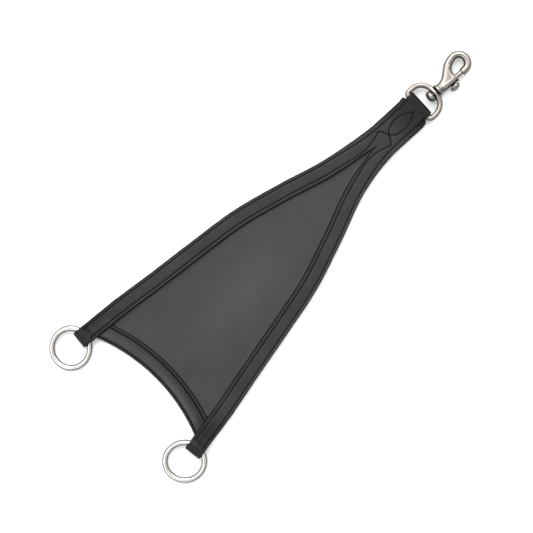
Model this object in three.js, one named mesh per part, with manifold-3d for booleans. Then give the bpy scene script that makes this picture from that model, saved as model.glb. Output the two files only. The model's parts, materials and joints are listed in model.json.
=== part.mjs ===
// Bib martingale: a leather bib held in a Y-shaped yoke, with a ring on each leg and a swivel bolt snap.
// Millimetres. X runs across the bib, Y up its length towards the snap, Z up from the surface it lies on.
// Lengths along Y are counted from the ring line, which has one ring centre just above it and the other just
// below, and X from the bib's middle line. The finished group is then moved so that its origin is at the
// middle of its underside.
import * as THREE from "three";
import { mergeVertices } from "three/addons/utils/BufferGeometryUtils.js";
import Module from "manifold-3d";

const wasm = await Module();
wasm.setup();

// Driving dimensions.
const MID_LENGTH = 232.25; // from the ring line to the middle of the whole length
const MID_ACROSS = -0.44; // from the bib's middle line to the middle of the whole width
const STRAP_WIDTH = 18;
const STATION_START = 12; // first station of the strap's middle line
const STATION_STEP = 50;
// Half the spacing of the two straps at each station.
const STRAP_MIDDLE = [79.7, 73.7, 65.4, 57.5, 48.7, 34, 17.5, 9.1, 8.7, 8.7];
const SWAY_START = 295; // the top of the yoke lies turned a little to one side
const SWAY_END = 370;
const SWAY_TURN = THREE.MathUtils.degToRad(4.2);
const SKEW = 0.024; // the legs lie a little uneven: one end higher, the other lower
const SKEW_START = 15;
const SKEW_END = 110;

const BACK_LEATHER = 2;
const PANEL_LEATHER = 2;
const FRONT_LEATHER = 2.6;
const LAYER_GAP = 0.1;
const PIECE_GAP = 0.3;

const RING_RADIUS = 19.5; // to the middle of the wire
const RING_WIRE = 3;
const RING_LOOP_RADIUS = 4.8; // inside of the leather loop that holds a ring
const LOOP_LEATHER = 2;
const LOOP_RUN = 14; // from the loop's middle to where the layers lie flat
const LEG_JOIN = 32.2;
const LEG_TURN_BACK = 50;

const TAB_SHOULDER = 411.5;
const TAB_NECK_HALF = 14.45;
const BAR_LINE = 416.5; // the eye's straight bar inside the tab's fold
const BAR_HEIGHT = 6.5;
const BAR_LOOP_RADIUS = 3.05;
const BAR_RUN = 8;
const TAB_TURN_BACK = 45;
const YOKE_FORK = 352; // where the two straps part
const PANEL_TOP = 362;

const HEM_CENTRE = -147.5; // middle of the concave hem's arcs
const HEM_RADIUS = 186.5; // its free edge
const HEM_WIDTH = 18.2;
const HEM_LEATHER = 1.2;
const HEM_CROWN = 3.9; // height of the padded roll above the panel

const THREAD_WIDTH = 0.8;
const THREAD_HEIGHT = 0.45;

const EYE_SET = -1; // the eye and the tab's neck sit a little to one side of the snap's stem
const EYE_WIRE = 2.75;
const EYE_HALF = 17.5;
const EYE_LENGTH = 21.25;
const EYE_CORNER = 3;
const EYE_SHOULDER = 14.3;
const BOSS_RADIUS = 5;
const BOSS_START = 18.25;
const RIVET_RADIUS = 2.4;
const COLLAR_START = 24.3;
const BORE_START = 28.4;
const BOLT_X = 2.35;
const BOLT_RADIUS = 2.4;
const BOLT_START = 39.2;
const BOLT_END = 57.3;
const BOLT_TRAVEL = 7.5;
const BORE_RADIUS = BOLT_RADIUS + PIECE_GAP;
const MOUTH = 47.7;
const HOOK_CENTRE = new THREE.Vector2(-5.9, 58.9);
const HOOK_RADIUS = 8.93;
const TIP_END = 55;
const HOOK_BAR = 3.93;
const WEB_HALF = 3.4;
const STUD_Y = 40.3;
const STUD_LIFT = THREE.MathUtils.degToRad(10);
const STUD_SHANK = 2;
const STUD_HEAD = 5.6;

// Heights of the leather layers.
const PANEL_BOTTOM = BACK_LEATHER + LAYER_GAP;
const PANEL_FACE = PANEL_BOTTOM + PANEL_LEATHER;
const FRONT_BOTTOM = PANEL_FACE + LAYER_GAP;
const FRONT_FACE = FRONT_BOTTOM + FRONT_LEATHER;

// Materials.
function material(color, roughness, metalness) {
  return new THREE.MeshStandardMaterial({ color, roughness, metalness });
}

const strapLeather = () => material(0x3b3c3e, 0.55, 0);
const panelLeather = () => material(0x46494b, 0.65, 0);
const rawLeather = () => material(0x2a2724, 0.85, 0);
const thread = () => material(0x121212, 0.8, 0);
const nickel = () => material(0xc9c6c0, 0.25, 1);
const springSteel = () => material(0x8d8f92, 0.35, 1);

// Solids.
function solid(geometry) {
  const bare = new THREE.BufferGeometry();
  bare.setAttribute("position", geometry.attributes.position);
  if (geometry.index) bare.setIndex(geometry.index);
  const merged = mergeVertices(bare, 1e-4);
  return new wasm.Manifold(
    new wasm.Mesh({
      numProp: 3,
      vertProperties: new Float32Array(merged.attributes.position.array),
      triVerts: new Uint32Array(merged.index.array),
    }),
  );
}

function geometryOf(body) {
  const mesh = body.getMesh();
  const geometry = new THREE.BufferGeometry();
  geometry.setAttribute("position", new THREE.BufferAttribute(new Float32Array(mesh.vertProperties), 3));
  geometry.setIndex(new THREE.BufferAttribute(new Uint32Array(mesh.triVerts), 1));
  const faceted = geometry.toNonIndexed();
  faceted.computeVertexNormals();
  return faceted;
}

function moved(geometry, place) {
  const position = geometry.attributes.position;
  const point = new THREE.Vector3();
  for (let i = 0; i < position.count; i += 1) {
    place(point.fromBufferAttribute(position, i));
    position.setXYZ(i, point.x, point.y, point.z);
  }
  geometry.computeVertexNormals();
  return geometry;
}

function node(name, geometry, finish) {
  const mesh = new THREE.Mesh(geometry, finish);
  mesh.name = name;
  return mesh;
}

function plate(outline, bottom, thickness) {
  const geometry = new THREE.ExtrudeGeometry(new THREE.Shape(outline), {
    depth: thickness,
    bevelEnabled: false,
  });
  return geometry.translate(0, 0, bottom);
}

function block(from, to) {
  const box = new THREE.Box3().setFromPoints([from, to]);
  const size = box.getSize(new THREE.Vector3());
  const middle = box.getCenter(new THREE.Vector3());
  return new THREE.BoxGeometry(size.x, size.y, size.z).translate(middle.x, middle.y, middle.z);
}

// The strap's middle line on the right-hand side, and points beside it.
function strapMiddle(y) {
  const along = (y - STATION_START) / STATION_STEP;
  const i = Math.floor(along);
  const t = along - i;
  const [a, b, c, d] = [-1, 0, 1, 2].map((k) => station(i + k));
  const cubic = -a + 3 * b - 3 * c + d;
  const square = 2 * a - 5 * b + 4 * c - d;
  return 0.5 * (2 * b + (c - a) * t + square * t * t + cubic * t * t * t);
}

function station(i) {
  if (i < 0) return 2 * STRAP_MIDDLE[0] - STRAP_MIDDLE[1];
  return STRAP_MIDDLE[Math.min(i, STRAP_MIDDLE.length - 1)];
}

function strapDirection(y) {
  const step = 0.5;
  return new THREE.Vector2(strapMiddle(y + step) - strapMiddle(y - step), 2 * step).normalize();
}

function besideStrap(y, offset) {
  const along = strapDirection(y);
  return new THREE.Vector2(strapMiddle(y) + along.y * offset, y - along.x * offset);
}

function steps(from, to, length) {
  const count = Math.max(1, Math.round(Math.abs(to - from) / length));
  return Array.from({ length: count + 1 }, (_, i) => from + ((to - from) * i) / count);
}

function mirrored(points) {
  return points.map((p) => new THREE.Vector2(-p.x, p.y)).reverse();
}

// How the bib lies: its legs a little uneven and its top turned sideways. The straight layout is moved to
// that place point by point.
function skewAt(y) {
  return SKEW * (1 - THREE.MathUtils.smoothstep(y, SKEW_START, SKEW_END));
}

function swayAngle(y) {
  return SWAY_TURN * THREE.MathUtils.smoothstep(y, SWAY_START, SWAY_END);
}

function swayMiddle(y) {
  const middle = new THREE.Vector2(0, Math.min(y, SWAY_START));
  if (y <= SWAY_START) return middle;
  const count = 60;
  const step = (y - SWAY_START) / count;
  for (let i = 0; i < count; i += 1) {
    const angle = swayAngle(SWAY_START + (i + 0.5) * step);
    middle.x += step * Math.sin(angle);
    middle.y += step * Math.cos(angle);
  }
  return middle;
}

function laid(point) {
  const angle = swayAngle(point.y);
  const middle = swayMiddle(point.y);
  middle.x += point.x * Math.cos(angle);
  middle.y -= point.x * (Math.sin(angle) + skewAt(point.y));
  point.x = middle.x;
  point.y = middle.y;
  return point;
}

// A strap end folded round a bar or ring and turned back underneath. In its own section the strap comes
// from +X, the loop's middle is at X = 0, and Y is height.
function foldedEnd(width, height, inside, outside, run, turnBack) {
  const bend = 0.45 * run;
  const section = new THREE.Shape();
  section.moveTo(run, FRONT_FACE);
  section.bezierCurveTo(run - bend, FRONT_FACE, bend, height + outside, 0, height + outside);
  section.absarc(0, height, outside, Math.PI / 2, 1.5 * Math.PI, false);
  section.bezierCurveTo(bend, height - outside, run - bend, 0, run, 0);
  section.lineTo(turnBack, 0);
  section.lineTo(turnBack, BACK_LEATHER);
  section.lineTo(run, BACK_LEATHER);
  section.bezierCurveTo(run - bend, BACK_LEATHER, bend, height - inside, 0, height - inside);
  section.absarc(0, height, inside, 1.5 * Math.PI, Math.PI / 2, true);
  section.bezierCurveTo(bend, height + inside, run - bend, FRONT_BOTTOM, run, FRONT_BOTTOM);
  section.closePath();
  const geometry = new THREE.ExtrudeGeometry(section, {
    depth: width,
    bevelEnabled: false,
    curveSegments: 7,
  });
  return geometry.translate(0, 0, -width / 2);
}

function facing(direction, origin) {
  const bibward = new THREE.Vector3(direction.x, direction.y, 0).negate();
  const up = new THREE.Vector3(0, 0, 1);
  const across = new THREE.Vector3().crossVectors(bibward, up);
  return new THREE.Matrix4().makeBasis(bibward, up, across).setPosition(origin.x, origin.y, 0);
}

// Where each leg's loop is, and which way the leg points.
function legEnd(side) {
  const along = strapDirection(LEG_JOIN).negate();
  const join = besideStrap(LEG_JOIN, 0);
  const hinge = join.clone().addScaledVector(along, LOOP_RUN);
  return {
    direction: new THREE.Vector2(side * along.x, along.y),
    hinge: new THREE.Vector2(side * hinge.x, hinge.y),
  };
}

const LOOP_OUTSIDE = RING_LOOP_RADIUS + LOOP_LEATHER;
const BAR_OUTSIDE = BAR_LOOP_RADIUS + FRONT_LEATHER;
const HALF_STRAP = STRAP_WIDTH / 2;

// The Y outline of a yoke layer, from its leg ends up to a straight top edge.
function yokeOutline(legStart, top) {
  const outer = steps(legStart, top, 12).map((y) => besideStrap(y, HALF_STRAP));
  outer[outer.length - 1].y = top;
  const inner = steps(YOKE_FORK - 8, legStart, 12).map((y) => besideStrap(y, -HALF_STRAP));
  const right = [...inner, ...outer];
  return [...right, ...mirrored(right), new THREE.Vector2(0, YOKE_FORK)];
}

function frontYoke() {
  const barLine = new THREE.Vector2(0, BAR_LINE);
  const tab = foldedEnd(
    2 * besideStrap(TAB_SHOULDER, HALF_STRAP).x,
    BAR_HEIGHT,
    BAR_LOOP_RADIUS,
    BAR_OUTSIDE,
    BAR_RUN,
    TAB_TURN_BACK,
  );
  tab.applyMatrix4(facing(new THREE.Vector2(0, 1), barLine));
  let body = solid(plate(yokeOutline(LEG_JOIN, BAR_LINE - BAR_RUN), FRONT_BOTTOM, FRONT_LEATHER));
  body = body.add(solid(tab));
  for (const side of [-1, 1]) {
    const notch = block(
      new THREE.Vector3(EYE_SET + side * TAB_NECK_HALF, TAB_SHOULDER, -1),
      new THREE.Vector3(side * 2 * STRAP_WIDTH, BAR_LINE + STRAP_WIDTH, 2 * STRAP_WIDTH),
    );
    body = body.subtract(solid(notch));
    const { direction, hinge } = legEnd(side);
    const leg = foldedEnd(
      STRAP_WIDTH,
      LOOP_OUTSIDE,
      RING_LOOP_RADIUS,
      LOOP_OUTSIDE,
      LOOP_RUN,
      LEG_TURN_BACK,
    );
    body = body.add(solid(leg.applyMatrix4(facing(direction, hinge))));
  }
  return node("front_yoke", moved(geometryOf(body), laid), strapLeather());
}

function backYoke() {
  const legStart = LEG_JOIN + LEG_TURN_BACK - LOOP_RUN + PIECE_GAP;
  const outline = yokeOutline(legStart, BAR_LINE - TAB_TURN_BACK - PIECE_GAP);
  return node("back_yoke", moved(plate(outline, 0, BACK_LEATHER), laid), strapLeather());
}

function bibPanel() {
  const inset = 1.5;
  const edge = HEM_RADIUS + HEM_LEATHER + PIECE_GAP;
  const side = steps(LEG_JOIN, PANEL_TOP, 12).map((y) => besideStrap(y, HALF_STRAP - inset));
  side[side.length - 1].y = PANEL_TOP;
  const corner = besideStrap(LEG_JOIN, -HALF_STRAP);
  const reach = Math.asin(corner.x / edge);
  const arc = steps(-reach, reach, 0.06).map(
    (a) => new THREE.Vector2(edge * Math.sin(a), HEM_CENTRE + edge * Math.cos(a)),
  );
  const outline = [...arc, corner, ...side, ...mirrored([corner, ...side])];
  return node("bib_panel", moved(plate(outline, PANEL_BOTTOM, PANEL_LEATHER), laid), panelLeather());
}

function tabFiller() {
  const half = 16;
  const from = PANEL_TOP + PIECE_GAP;
  const to = BAR_LINE - BAR_RUN;
  const right = steps(from, to, 12).map((y) => new THREE.Vector2(half, y));
  const outline = [...right, ...mirrored(right)];
  return node("tab_filler", moved(plate(outline, PANEL_BOTTOM, PANEL_LEATHER), laid), rawLeather());
}

// The hem: a section in radius and height, swept round the concave edge and cut off at the straps.
const HEM_SWEEP = 0.4;
const HEM_STITCH_IN = 3;
const HEM_STITCH_OUT = 2.3;
const HEM_GROOVE = 0.8; // flat to each side of a stitch line
const ROLL_LOW = HEM_RADIUS + HEM_STITCH_OUT + HEM_GROOVE;
const ROLL_HIGH = HEM_RADIUS + HEM_WIDTH - HEM_STITCH_IN - HEM_GROOVE;

function sweptHem(section) {
  const geometry = new THREE.ExtrudeGeometry(section, {
    depth: 2 * HEM_SWEEP,
    steps: 14,
    bevelEnabled: false,
    curveSegments: 5,
  });
  moved(geometry, (p) => {
    const angle = p.z - HEM_SWEEP;
    p.set(p.x * Math.sin(angle), HEM_CENTRE + p.x * Math.cos(angle), p.y);
  });
  let body = solid(geometry);
  const strapGap = 0.8;
  const inner = steps(0, 90, 15).map((y) => besideStrap(y, -HALF_STRAP - strapGap));
  const outer = steps(90, 0, 15).map((y) => besideStrap(y, 3 * STRAP_WIDTH));
  for (const outline of [[...inner, ...outer], mirrored([...inner, ...outer])]) {
    body = body.subtract(solid(plate(outline, -STRAP_WIDTH, 2 * STRAP_WIDTH)));
  }
  return moved(geometryOf(body), laid);
}

function hemRoll(section, lower, upper, base, crown) {
  const peak = lower + 0.38 * (upper - lower);
  section.bezierCurveTo(upper - 2, base + crown, peak + 3, base + crown, peak, base + crown);
  section.bezierCurveTo(peak - 2, base + crown, lower + 0.6, base + 0.6 * crown, lower, base);
}

function hemFacing() {
  const top = HEM_RADIUS + HEM_WIDTH;
  const face = FRONT_BOTTOM + HEM_LEATHER;
  const under = BACK_LEATHER - HEM_LEATHER;
  const fold = HEM_LEATHER + 0.2;
  const section = new THREE.Shape();
  section.moveTo(top, FRONT_BOTTOM);
  section.lineTo(top, face);
  section.lineTo(ROLL_HIGH, face);
  hemRoll(section, ROLL_LOW, ROLL_HIGH, face, HEM_CROWN - HEM_LEATHER);
  section.lineTo(HEM_RADIUS + fold, face);
  section.quadraticCurveTo(HEM_RADIUS, face, HEM_RADIUS, face - fold);
  section.lineTo(HEM_RADIUS, under + fold);
  section.quadraticCurveTo(HEM_RADIUS, under, HEM_RADIUS + fold, under);
  section.lineTo(top - 2, under);
  section.lineTo(top - 2, BACK_LEATHER);
  section.lineTo(HEM_RADIUS + HEM_LEATHER, BACK_LEATHER);
  section.lineTo(HEM_RADIUS + HEM_LEATHER, FRONT_BOTTOM);
  const inside = new THREE.Shape();
  inside.moveTo(ROLL_HIGH - HEM_LEATHER, FRONT_BOTTOM);
  hemRoll(inside, ROLL_LOW + HEM_LEATHER, ROLL_HIGH - HEM_LEATHER, FRONT_BOTTOM, HEM_CROWN - HEM_LEATHER);
  for (const point of inside.getPoints(5).reverse()) section.lineTo(point.x, point.y);
  section.closePath();
  return node("hem_facing", sweptHem(section), strapLeather());
}

function hemPadding() {
  const inset = HEM_LEATHER + PIECE_GAP;
  const section = new THREE.Shape();
  section.moveTo(ROLL_HIGH - inset, FRONT_BOTTOM);
  hemRoll(section, ROLL_LOW + inset, ROLL_HIGH - inset, FRONT_BOTTOM, HEM_CROWN - inset);
  section.closePath();
  return node("hem_padding", sweptHem(section), rawLeather());
}

// Seams: one narrow strip of thread along each line of stitching.
function ribbon(points, width) {
  const sides = [1, -1].map((side) =>
    points.map((p, i) => {
      const before = points[Math.max(i - 1, 0)];
      const after = points[Math.min(i + 1, points.length - 1)];
      const along = after.clone().sub(before).normalize();
      return new THREE.Vector2(p.x + (side * along.y * width) / 2, p.y - (side * along.x * width) / 2);
    }),
  );
  return [...sides[0], ...sides[1].reverse()];
}

function seam(name, points, height) {
  const strip = plate(ribbon(points, THREAD_WIDTH), height + LAYER_GAP, THREAD_HEIGHT);
  return node(name, moved(strip, laid), thread());
}

const SEAM_OFFSET = 5.5;
const TAB_SEAM_OFFSET = 3.9;
const SEAM_START = LEG_JOIN + 2;
const SEAM_END = TAB_SHOULDER - 4;

function outerSeam(name, side) {
  const points = steps(SEAM_START, SEAM_END, 12).map((y) => {
    const offset = THREE.MathUtils.lerp(
      SEAM_OFFSET,
      TAB_SEAM_OFFSET,
      THREE.MathUtils.smoothstep(y, 310, 360),
    );
    const point = besideStrap(y, offset);
    point.x *= side;
    return point;
  });
  return seam(name, points, FRONT_FACE);
}

// The inner seam leaves the strap's edge at the fork, turns back on itself in a sharp corner, crosses the
// middle and closes half of a pointed leaf.
const CROOK = [[7.3, 330], [4.9, 341], [4.8, 351], [6.4, 361.5], [9.5, 370]];
const LEAF = [[9.5, 370], [5, 373.4], [0, 376], [-4.2, 380], [-6.6, 388.5], [-5.6, 398.5], [0, 408]];

function innerSeam(name, side, height) {
  const strap = steps(SEAM_START, 318, 12).map((y) => besideStrap(y, -SEAM_OFFSET));
  const crook = new THREE.SplineCurve([strap.at(-1), ...CROOK.map(([x, y]) => new THREE.Vector2(x, y))]);
  const leaf = new THREE.SplineCurve(LEAF.map(([x, y]) => new THREE.Vector2(x, y)));
  const points = [...strap, ...crook.getPoints(9).slice(1), ...leaf.getPoints(14).slice(1, -1)];
  return seam(name, points.map((p) => new THREE.Vector2(side * p.x, p.y)), height);
}

function hemSeam(name, radius) {
  const edge = besideStrap(HEM_RADIUS + HEM_CENTRE, -HALF_STRAP).x - 4;
  const reach = Math.asin(edge / radius);
  const points = steps(-reach, reach, 0.06).map(
    (a) => new THREE.Vector2(radius * Math.sin(a), HEM_CENTRE + radius * Math.cos(a)),
  );
  return seam(name, points, FRONT_BOTTOM + HEM_LEATHER);
}

// Rings: each hangs in its leg's loop, slid a little towards the bib's middle, and rests with its far side
// on the ground. The loop lies where the leg does, so its direction is found between two laid points.
const RING_REACH = 17.88; // from the loop's middle line to the ring's middle
const RING_SLIDE = 0.75;

function ring(name, side) {
  const { direction, hinge } = legEnd(side);
  const across = new THREE.Vector2(-direction.y, direction.x).multiplyScalar(HALF_STRAP);
  const turned = laid(hinge.clone().add(across)).sub(laid(hinge.clone().sub(across)));
  const place = laid(hinge.clone());
  const mesh = node(name, new THREE.TorusGeometry(RING_RADIUS, RING_WIRE, 10, 36), nickel());
  mesh.position.set(RING_REACH, -side * RING_SLIDE, 0);
  const group = new THREE.Group();
  group.add(mesh);
  group.position.set(place.x, place.y, LOOP_OUTSIDE);
  const droop = Math.asin((LOOP_OUTSIDE - RING_WIRE) / (RING_REACH + RING_RADIUS));
  group.rotation.set(0, droop, Math.atan2(-turned.x, turned.y), "ZYX");
  return group;
}

// The snap's own frame: the eye's straight bar lies on X and the stem runs up Y.
function lathe(profile, sides) {
  return new THREE.LatheGeometry(profile.map(([r, y]) => new THREE.Vector2(r, y)), sides);
}

function tube(curve, radiusAt, count, sides) {
  const circle = new THREE.Shape().absarc(0, 0, 1, 0, 2 * Math.PI, false);
  const geometry = new THREE.ExtrudeGeometry(circle, {
    depth: 1,
    steps: count,
    bevelEnabled: false,
    curveSegments: sides,
  });
  return moved(geometry, (p) => {
    const at = THREE.MathUtils.clamp(p.z, 0, 1);
    const middle = curve.getPointAt(at);
    const along = curve.getTangentAt(at);
    const radius = radiusAt(at);
    p.set(middle.x - along.y * p.x * radius, middle.y + along.x * p.x * radius, p.y * radius);
  });
}

function swivelEye() {
  const bar = EYE_HALF - EYE_CORNER;
  const arch = EYE_HALF - EYE_SHOULDER;
  const shoulder = EYE_LENGTH - EYE_SHOULDER;
  const path = new THREE.Path();
  path.moveTo(0, 0);
  path.lineTo(bar, 0);
  path.absarc(bar, EYE_CORNER, EYE_CORNER, -Math.PI / 2, 0, false);
  path.absarc(arch, shoulder, EYE_SHOULDER, 0, Math.PI / 2, false);
  path.absarc(-arch, shoulder, EYE_SHOULDER, Math.PI / 2, Math.PI, false);
  path.absarc(-bar, EYE_CORNER, EYE_CORNER, Math.PI, 1.5 * Math.PI, false);
  path.closePath();
  const loop = moved(new THREE.TorusGeometry(1, 0.5, 10, 60), (p) => {
    const turn = (Math.atan2(p.y, p.x) / (2 * Math.PI) + 1) % 1;
    const middle = path.getPointAt(turn);
    const along = path.getTangentAt(turn);
    const out = (Math.hypot(p.x, p.y) - 1) * 2 * EYE_WIRE;
    p.set(EYE_SET + middle.x + along.y * out, middle.y - along.x * out, p.z * 2 * EYE_WIRE);
  });
  const outer = EYE_LENGTH + EYE_WIRE;
  const boss = lathe([[0, BOSS_START], [BOSS_RADIUS, BOSS_START], [BOSS_RADIUS, outer], [0, outer]], 20);
  const hole = RIVET_RADIUS + PIECE_GAP;
  const bore = lathe([[0, BOSS_START - 5], [hole, BOSS_START - 5], [hole, outer + 5], [0, outer + 5]], 16);
  return node("swivel_eye", geometryOf(solid(loop).add(solid(boss)).subtract(solid(bore))), nickel());
}

function swivelRivet() {
  const seat = BOSS_START - PIECE_GAP;
  const profile = [[0, 11.7], [2.9, 12.1], [5, 13.2], [6, 14.8], [6, 16.4], [4.9, seat]];
  profile.push([RIVET_RADIUS, seat], [RIVET_RADIUS, 27.2], [0, 27.2]);
  return node("swivel_rivet", lathe(profile, 16), nickel());
}

function hookLine() {
  const limb = [[0.2, 30], [-2.7, 37.9], [-7.7, 44], [-11.8, 49]];
  const points = limb.map(([x, y]) => new THREE.Vector3(x, y, 0));
  for (const angle of steps(200, -8, 30)) {
    const a = THREE.MathUtils.degToRad(angle);
    const out = new THREE.Vector2(Math.cos(a), Math.sin(a)).multiplyScalar(HOOK_RADIUS).add(HOOK_CENTRE);
    points.push(new THREE.Vector3(out.x, out.y, 0));
  }
  points.push(new THREE.Vector3(HOOK_CENTRE.x + HOOK_RADIUS, TIP_END, 0));
  return new THREE.CatmullRomCurve3(points);
}

function hookRadius(t) {
  return HOOK_BAR + 0.6 * (1 - t) ** 4 - 0.3 * Math.sin(Math.PI * t) ** 6;
}

function snapBody() {
  const collar = lathe([[0, COLLAR_START], [6.3, COLLAR_START], [6.4, 25.6], [5.2, 28], [0, 28]], 20);
  const foot = new THREE.Vector3(0.8, 27.4, 0);
  const barrelLine = new THREE.LineCurve3(foot, new THREE.Vector3(BOLT_X, MOUTH, 0));
  const barrel = tube(barrelLine, (t) => THREE.MathUtils.lerp(5.2, 4.3, t), 1, 10);
  const hook = tube(hookLine(), hookRadius, 26, 6);
  const web = new THREE.Shape();
  web.moveTo(0.6, 30);
  web.lineTo(BOLT_X, MOUTH);
  web.lineTo(-0.2, MOUTH);
  web.quadraticCurveTo(-7.2, 47.6, -10.4, 54.7);
  web.lineTo(-11.8, 49);
  web.lineTo(-7.7, 44);
  web.lineTo(-2.7, 37.9);
  const webPlate = new THREE.ExtrudeGeometry(web, {
    depth: 2 * WEB_HALF,
    bevelEnabled: false,
    curveSegments: 5,
  });
  let body = solid(collar).add(solid(barrel)).add(solid(hook));
  body = body.add(solid(webPlate.translate(0, 0, -WEB_HALF)));

  const hole = RIVET_RADIUS + PIECE_GAP;
  const rivetHole = lathe([[0, COLLAR_START - 1], [hole, COLLAR_START - 1], [hole, 27.6], [0, 27.6]], 16);
  const bolt = BORE_RADIUS;
  const tipHole = BOLT_END + PIECE_GAP;
  const bore = lathe([[0, BORE_START], [bolt, BORE_START], [bolt, tipHole], [0, tipHole]], 16);
  const slotHalf = STUD_SHANK + PIECE_GAP;
  const slot = block(
    new THREE.Vector3(0, STUD_Y - BOLT_TRAVEL - slotHalf, -slotHalf),
    new THREE.Vector3(2 * STUD_HEAD, STUD_Y + slotHalf, slotHalf),
  );
  slot.rotateY(-STUD_LIFT);
  for (const cut of [rivetHole, bore.translate(BOLT_X, 0, 0), slot.translate(BOLT_X, 0, 0)]) {
    body = body.subtract(solid(cut));
  }
  return node("snap_body", geometryOf(body), nickel());
}

function snapBolt() {
  const nose = 0.5;
  const profile = [[0, BOLT_START], [BOLT_RADIUS, BOLT_START], [BOLT_RADIUS, BOLT_END - nose]];
  profile.push([BOLT_RADIUS - nose, BOLT_END], [0, BOLT_END]);
  const pin = lathe(profile, 14).translate(BOLT_X, 0, 0);
  const socket = studTurned(lathe([[0, 0.7], [1.5, 0.7], [1.5, 3], [0, 3]], 10));
  return node("snap_bolt", geometryOf(solid(pin).subtract(solid(socket))), nickel());
}

function studTurned(geometry) {
  geometry.rotateZ(-Math.PI / 2);
  geometry.rotateY(-STUD_LIFT);
  return geometry.translate(BOLT_X, STUD_Y, 0);
}

function thumbStud() {
  const pin = 1.2;
  const profile = [[0, 1], [pin, 1], [pin, 2.5], [STUD_SHANK, 2.5], [STUD_SHANK, 5.9], [STUD_HEAD, 5.9]];
  profile.push([STUD_HEAD, 7.4], [4.8, 9], [2.8, 10], [0, 10.3]);
  return node("thumb_stud", studTurned(lathe(profile, 18)), nickel());
}

function boltSpring() {
  const wire = 0.25;
  const turns = 5;
  const from = BORE_START + PIECE_GAP + wire;
  const to = BOLT_START - PIECE_GAP - wire;
  const coil = BORE_RADIUS - PIECE_GAP - wire - 0.1;
  const points = steps(0, turns, 0.1).map((turn) => {
    const a = 2 * Math.PI * turn;
    const y = THREE.MathUtils.lerp(from, to, turn / turns);
    return new THREE.Vector3(BOLT_X + coil * Math.cos(a), y, coil * Math.sin(a));
  });
  const section = new THREE.Shape().absarc(0, 0, wire, 0, 2 * Math.PI, false);
  const geometry = new THREE.ExtrudeGeometry(section, {
    extrudePath: new THREE.CatmullRomCurve3(points),
    steps: points.length - 1,
    curveSegments: 3,
  });
  return node("bolt_spring", geometry, springSteel());
}

function snap() {
  const group = new THREE.Group();
  group.add(swivelEye(), swivelRivet(), snapBody(), snapBolt(), thumbStud(), boltSpring());
  const place = laid(new THREE.Vector2(0, BAR_LINE));
  group.position.set(place.x, place.y, BAR_HEIGHT);
  group.rotation.z = -SWAY_TURN;
  return group;
}

const martingale = new THREE.Group();
martingale.add(frontYoke(), backYoke(), bibPanel(), tabFiller(), hemFacing(), hemPadding());
martingale.add(outerSeam("outer_seam_left", -1), outerSeam("outer_seam_right", 1));
martingale.add(innerSeam("inner_seam_left", -1, FRONT_FACE));
martingale.add(innerSeam("inner_seam_right", 1, FRONT_FACE + THREAD_HEIGHT + LAYER_GAP));
martingale.add(hemSeam("hem_upper_seam", HEM_RADIUS + HEM_WIDTH - HEM_STITCH_IN));
martingale.add(hemSeam("hem_lower_seam", HEM_RADIUS + HEM_STITCH_OUT));
martingale.add(ring("left_ring", -1), ring("right_ring", 1), snap());
martingale.position.set(-MID_ACROSS, -MID_LENGTH, 0);

export default martingale;
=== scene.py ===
import json
import math

import bmesh
import bpy
import numpy as np
from mathutils import Matrix, Vector
from mathutils.kdtree import KDTree


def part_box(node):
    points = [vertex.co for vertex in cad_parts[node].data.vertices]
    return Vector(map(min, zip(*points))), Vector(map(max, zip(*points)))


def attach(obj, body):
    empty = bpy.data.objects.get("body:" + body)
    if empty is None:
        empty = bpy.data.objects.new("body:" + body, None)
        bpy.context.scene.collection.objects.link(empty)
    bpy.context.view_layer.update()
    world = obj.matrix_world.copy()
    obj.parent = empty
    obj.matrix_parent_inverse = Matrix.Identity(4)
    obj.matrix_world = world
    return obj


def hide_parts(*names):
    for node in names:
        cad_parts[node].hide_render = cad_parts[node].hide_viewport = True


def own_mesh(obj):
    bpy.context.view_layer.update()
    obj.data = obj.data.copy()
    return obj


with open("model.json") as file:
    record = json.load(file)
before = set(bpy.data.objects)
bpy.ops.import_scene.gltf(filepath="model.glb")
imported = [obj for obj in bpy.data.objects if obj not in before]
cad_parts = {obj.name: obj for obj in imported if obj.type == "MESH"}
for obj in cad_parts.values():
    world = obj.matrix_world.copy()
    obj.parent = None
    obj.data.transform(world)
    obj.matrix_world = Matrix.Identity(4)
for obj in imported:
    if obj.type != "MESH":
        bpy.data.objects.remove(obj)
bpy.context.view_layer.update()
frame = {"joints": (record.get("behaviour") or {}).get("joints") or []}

MM = 0.001

# The layout is in millimetres: x across the bib, y up its length from the line through the ring centres,
# z up from the surface it lies on. These driving dimensions are the CAD model's own.
STRAP_HALF = 9.0
STATION_START = 12.0
STATION_STEP = 50.0
STRAP_MIDDLE = np.array([79.7, 73.7, 65.4, 57.5, 48.7, 34.0, 17.5, 9.1, 8.7, 8.7])
SWAY_START = 295.0
SWAY_END = 370.0
SWAY_TURN = math.radians(4.2)
SWAY_LENGTH = 260.0
SWAY_STEPS = 1040
SKEW = 0.024
SKEW_START = 15.0
SKEW_END = 110.0

BACK_LEATHER = 2.0
FRONT_LEATHER = 2.6
LAYER_GAP = 0.1
RING_LOOP_RADIUS = 4.8
LOOP_LEATHER = 2.0
LOOP_RUN = 14.0
LEG_JOIN = 32.2
LEG_TURN_BACK = 50.0
TAB_SHOULDER = 411.5
TAB_NECK_HALF = 14.45
BAR_LINE = 416.5
BAR_LOOP_RADIUS = 3.05
BAR_RUN = 8.0
TAB_TURN_BACK = 45.0
PANEL_TOP = 362.0
PANEL_INSET = 1.5
FILLER_HALF = 15.8
FILLER_SLACK = 0.06
PIECE_GAP = 0.3
EYE_SET = -1.0  # the eye and the tab's neck sit a little to one side of the snap's stem

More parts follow.
